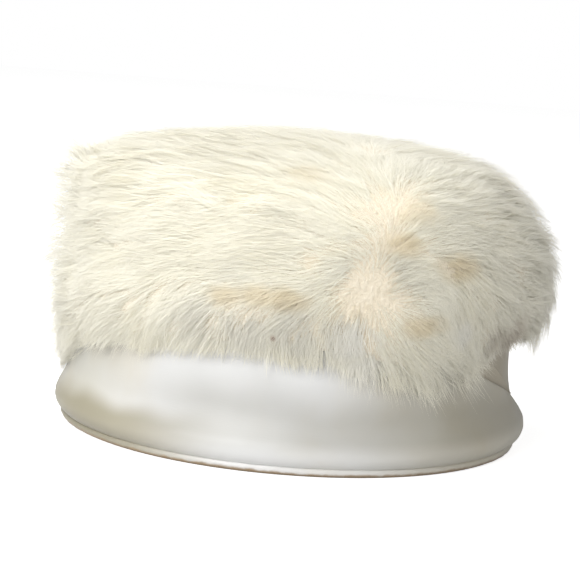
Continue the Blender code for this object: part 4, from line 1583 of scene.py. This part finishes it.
def set_inputs(modifier, values):
    """Sets a modifier's inputs by the sockets' names."""
    for item in modifier.node_group.interface.items_tree:
        if item.item_type == "SOCKET" and item.in_out == "INPUT" and item.name in values:
            modifier[item.identifier] = values[item.name]


def grow(name, start, end, material):
    """Hair on the comb surface between two angles, as a mesh of its own."""
    skin = bpy.data.objects.new(name, comb_mesh.copy())
    bpy.context.scene.collection.objects.link(skin)
    modifier = skin.modifiers.new("hair", "NODES")
    modifier.node_group = hair_tree
    set_inputs(modifier, {
        "Start": math.radians(start),
        "Span": math.radians(end - start),
        "Blade": blade,
        "Material": material,
    })
    graph = bpy.context.evaluated_depsgraph_get()
    grown = skin.evaluated_get(graph)
    mesh = bpy.data.meshes.new_from_object(
        grown, preserve_all_data_layers=True, depsgraph=graph
    )
    skin.modifiers.remove(modifier)
    skin.data = mesh
    mesh.name = name
    mesh.shade_smooth()
    return skin


hair_count = 0
for sector in SECTORS:
    piece = grow(sector["name"], sector["start"], sector["end"], fur_material)
    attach(piece, "root")
    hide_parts("fur_pile")
    hair_count += len(piece.data.polygons) // len(BLADE_ROWS)
    print(sector["name"], len(piece.data.polygons), "faces")
print(hair_count, "hairs in all")

# %% [markdown]
# ## Floor and light
#
# The hat stands on a pale floor in front of white. A large soft lamp up on the left gives the
# broad highlight on the satin and lets the right side fall off to grey. A weak lamp on the right
# keeps the shadows open. The plain colour transform keeps the whites as white as they were.

# %% Floor and light
WHITE = (1.0, 1.0, 1.0, 1.0)
FLOOR_GREY = (0.62, 0.62, 0.62, 1.0)
FLOOR_CORNERS = [(-3, -3, 0), (3, -3, 0), (3, 3, 0), (-3, 3, 0)]
FLOOR_GLOW = 0.76
SKY_LIGHT, SKY_SEEN_MORE = 0.32, 0.68
LAMP_AIM = Vector((0, 0, 0.05))

floor_data = bpy.data.meshes.new("floor")
floor_data.from_pydata(FLOOR_CORNERS, [], [(0, 1, 2, 3)])
floor = bpy.data.objects.new("floor", floor_data)
bpy.context.scene.collection.objects.link(floor)
floor_material, floor_tree, floor_shader = new_material("floor")
floor_shader.inputs["Base Color"].default_value = FLOOR_GREY
floor_shader.inputs["Roughness"].default_value = 0.9
floor_shader.inputs["Specular IOR Level"].default_value = 0.1
floor_shader.inputs["Emission Color"].default_value = WHITE
seen_directly = add_node(floor_tree, "ShaderNodeLightPath").outputs["Is Camera Ray"]
glow = math_node(floor_tree, "MULTIPLY", seen_directly, FLOOR_GLOW)
floor_tree.links.new(glow, floor_shader.inputs["Emission Strength"])
floor_data.materials.append(floor_material)

LAMPS = [
    {"name": "key", "place": (-0.62, -1.05, 0.72), "size": 0.75, "power": 13.0},
    {"name": "overhead", "place": (-0.65, -0.05, 1.35), "size": 1.30, "power": 16.5},
    {"name": "fill", "place": (1.05, -0.55, 1.05), "size": 1.20, "power": 4.4},
]
for row in LAMPS:
    lamp_data = bpy.data.lights.new(row["name"], "AREA")
    lamp_data.energy = row["power"]
    lamp_data.size = row["size"]
    lamp = bpy.data.objects.new(row["name"], lamp_data)
    lamp.location = row["place"]
    lamp.rotation_euler = (LAMP_AIM - lamp.location).to_track_quat("-Z", "Y").to_euler()
    bpy.context.scene.collection.objects.link(lamp)

world = bpy.data.worlds.new("white")
world.use_nodes = True
world_tree = world.node_tree
background = world_tree.nodes["Background"]
background.inputs["Color"].default_value = WHITE
straight = add_node(world_tree, "ShaderNodeLightPath").outputs["Is Camera Ray"]
strength = math_node(world_tree, "MULTIPLY_ADD", straight, SKY_SEEN_MORE, SKY_LIGHT)
world_tree.links.new(strength, background.inputs["Strength"])
bpy.context.scene.world = world
bpy.context.scene.view_settings.view_transform = "Standard"
print(len(LAMPS), "lamps")
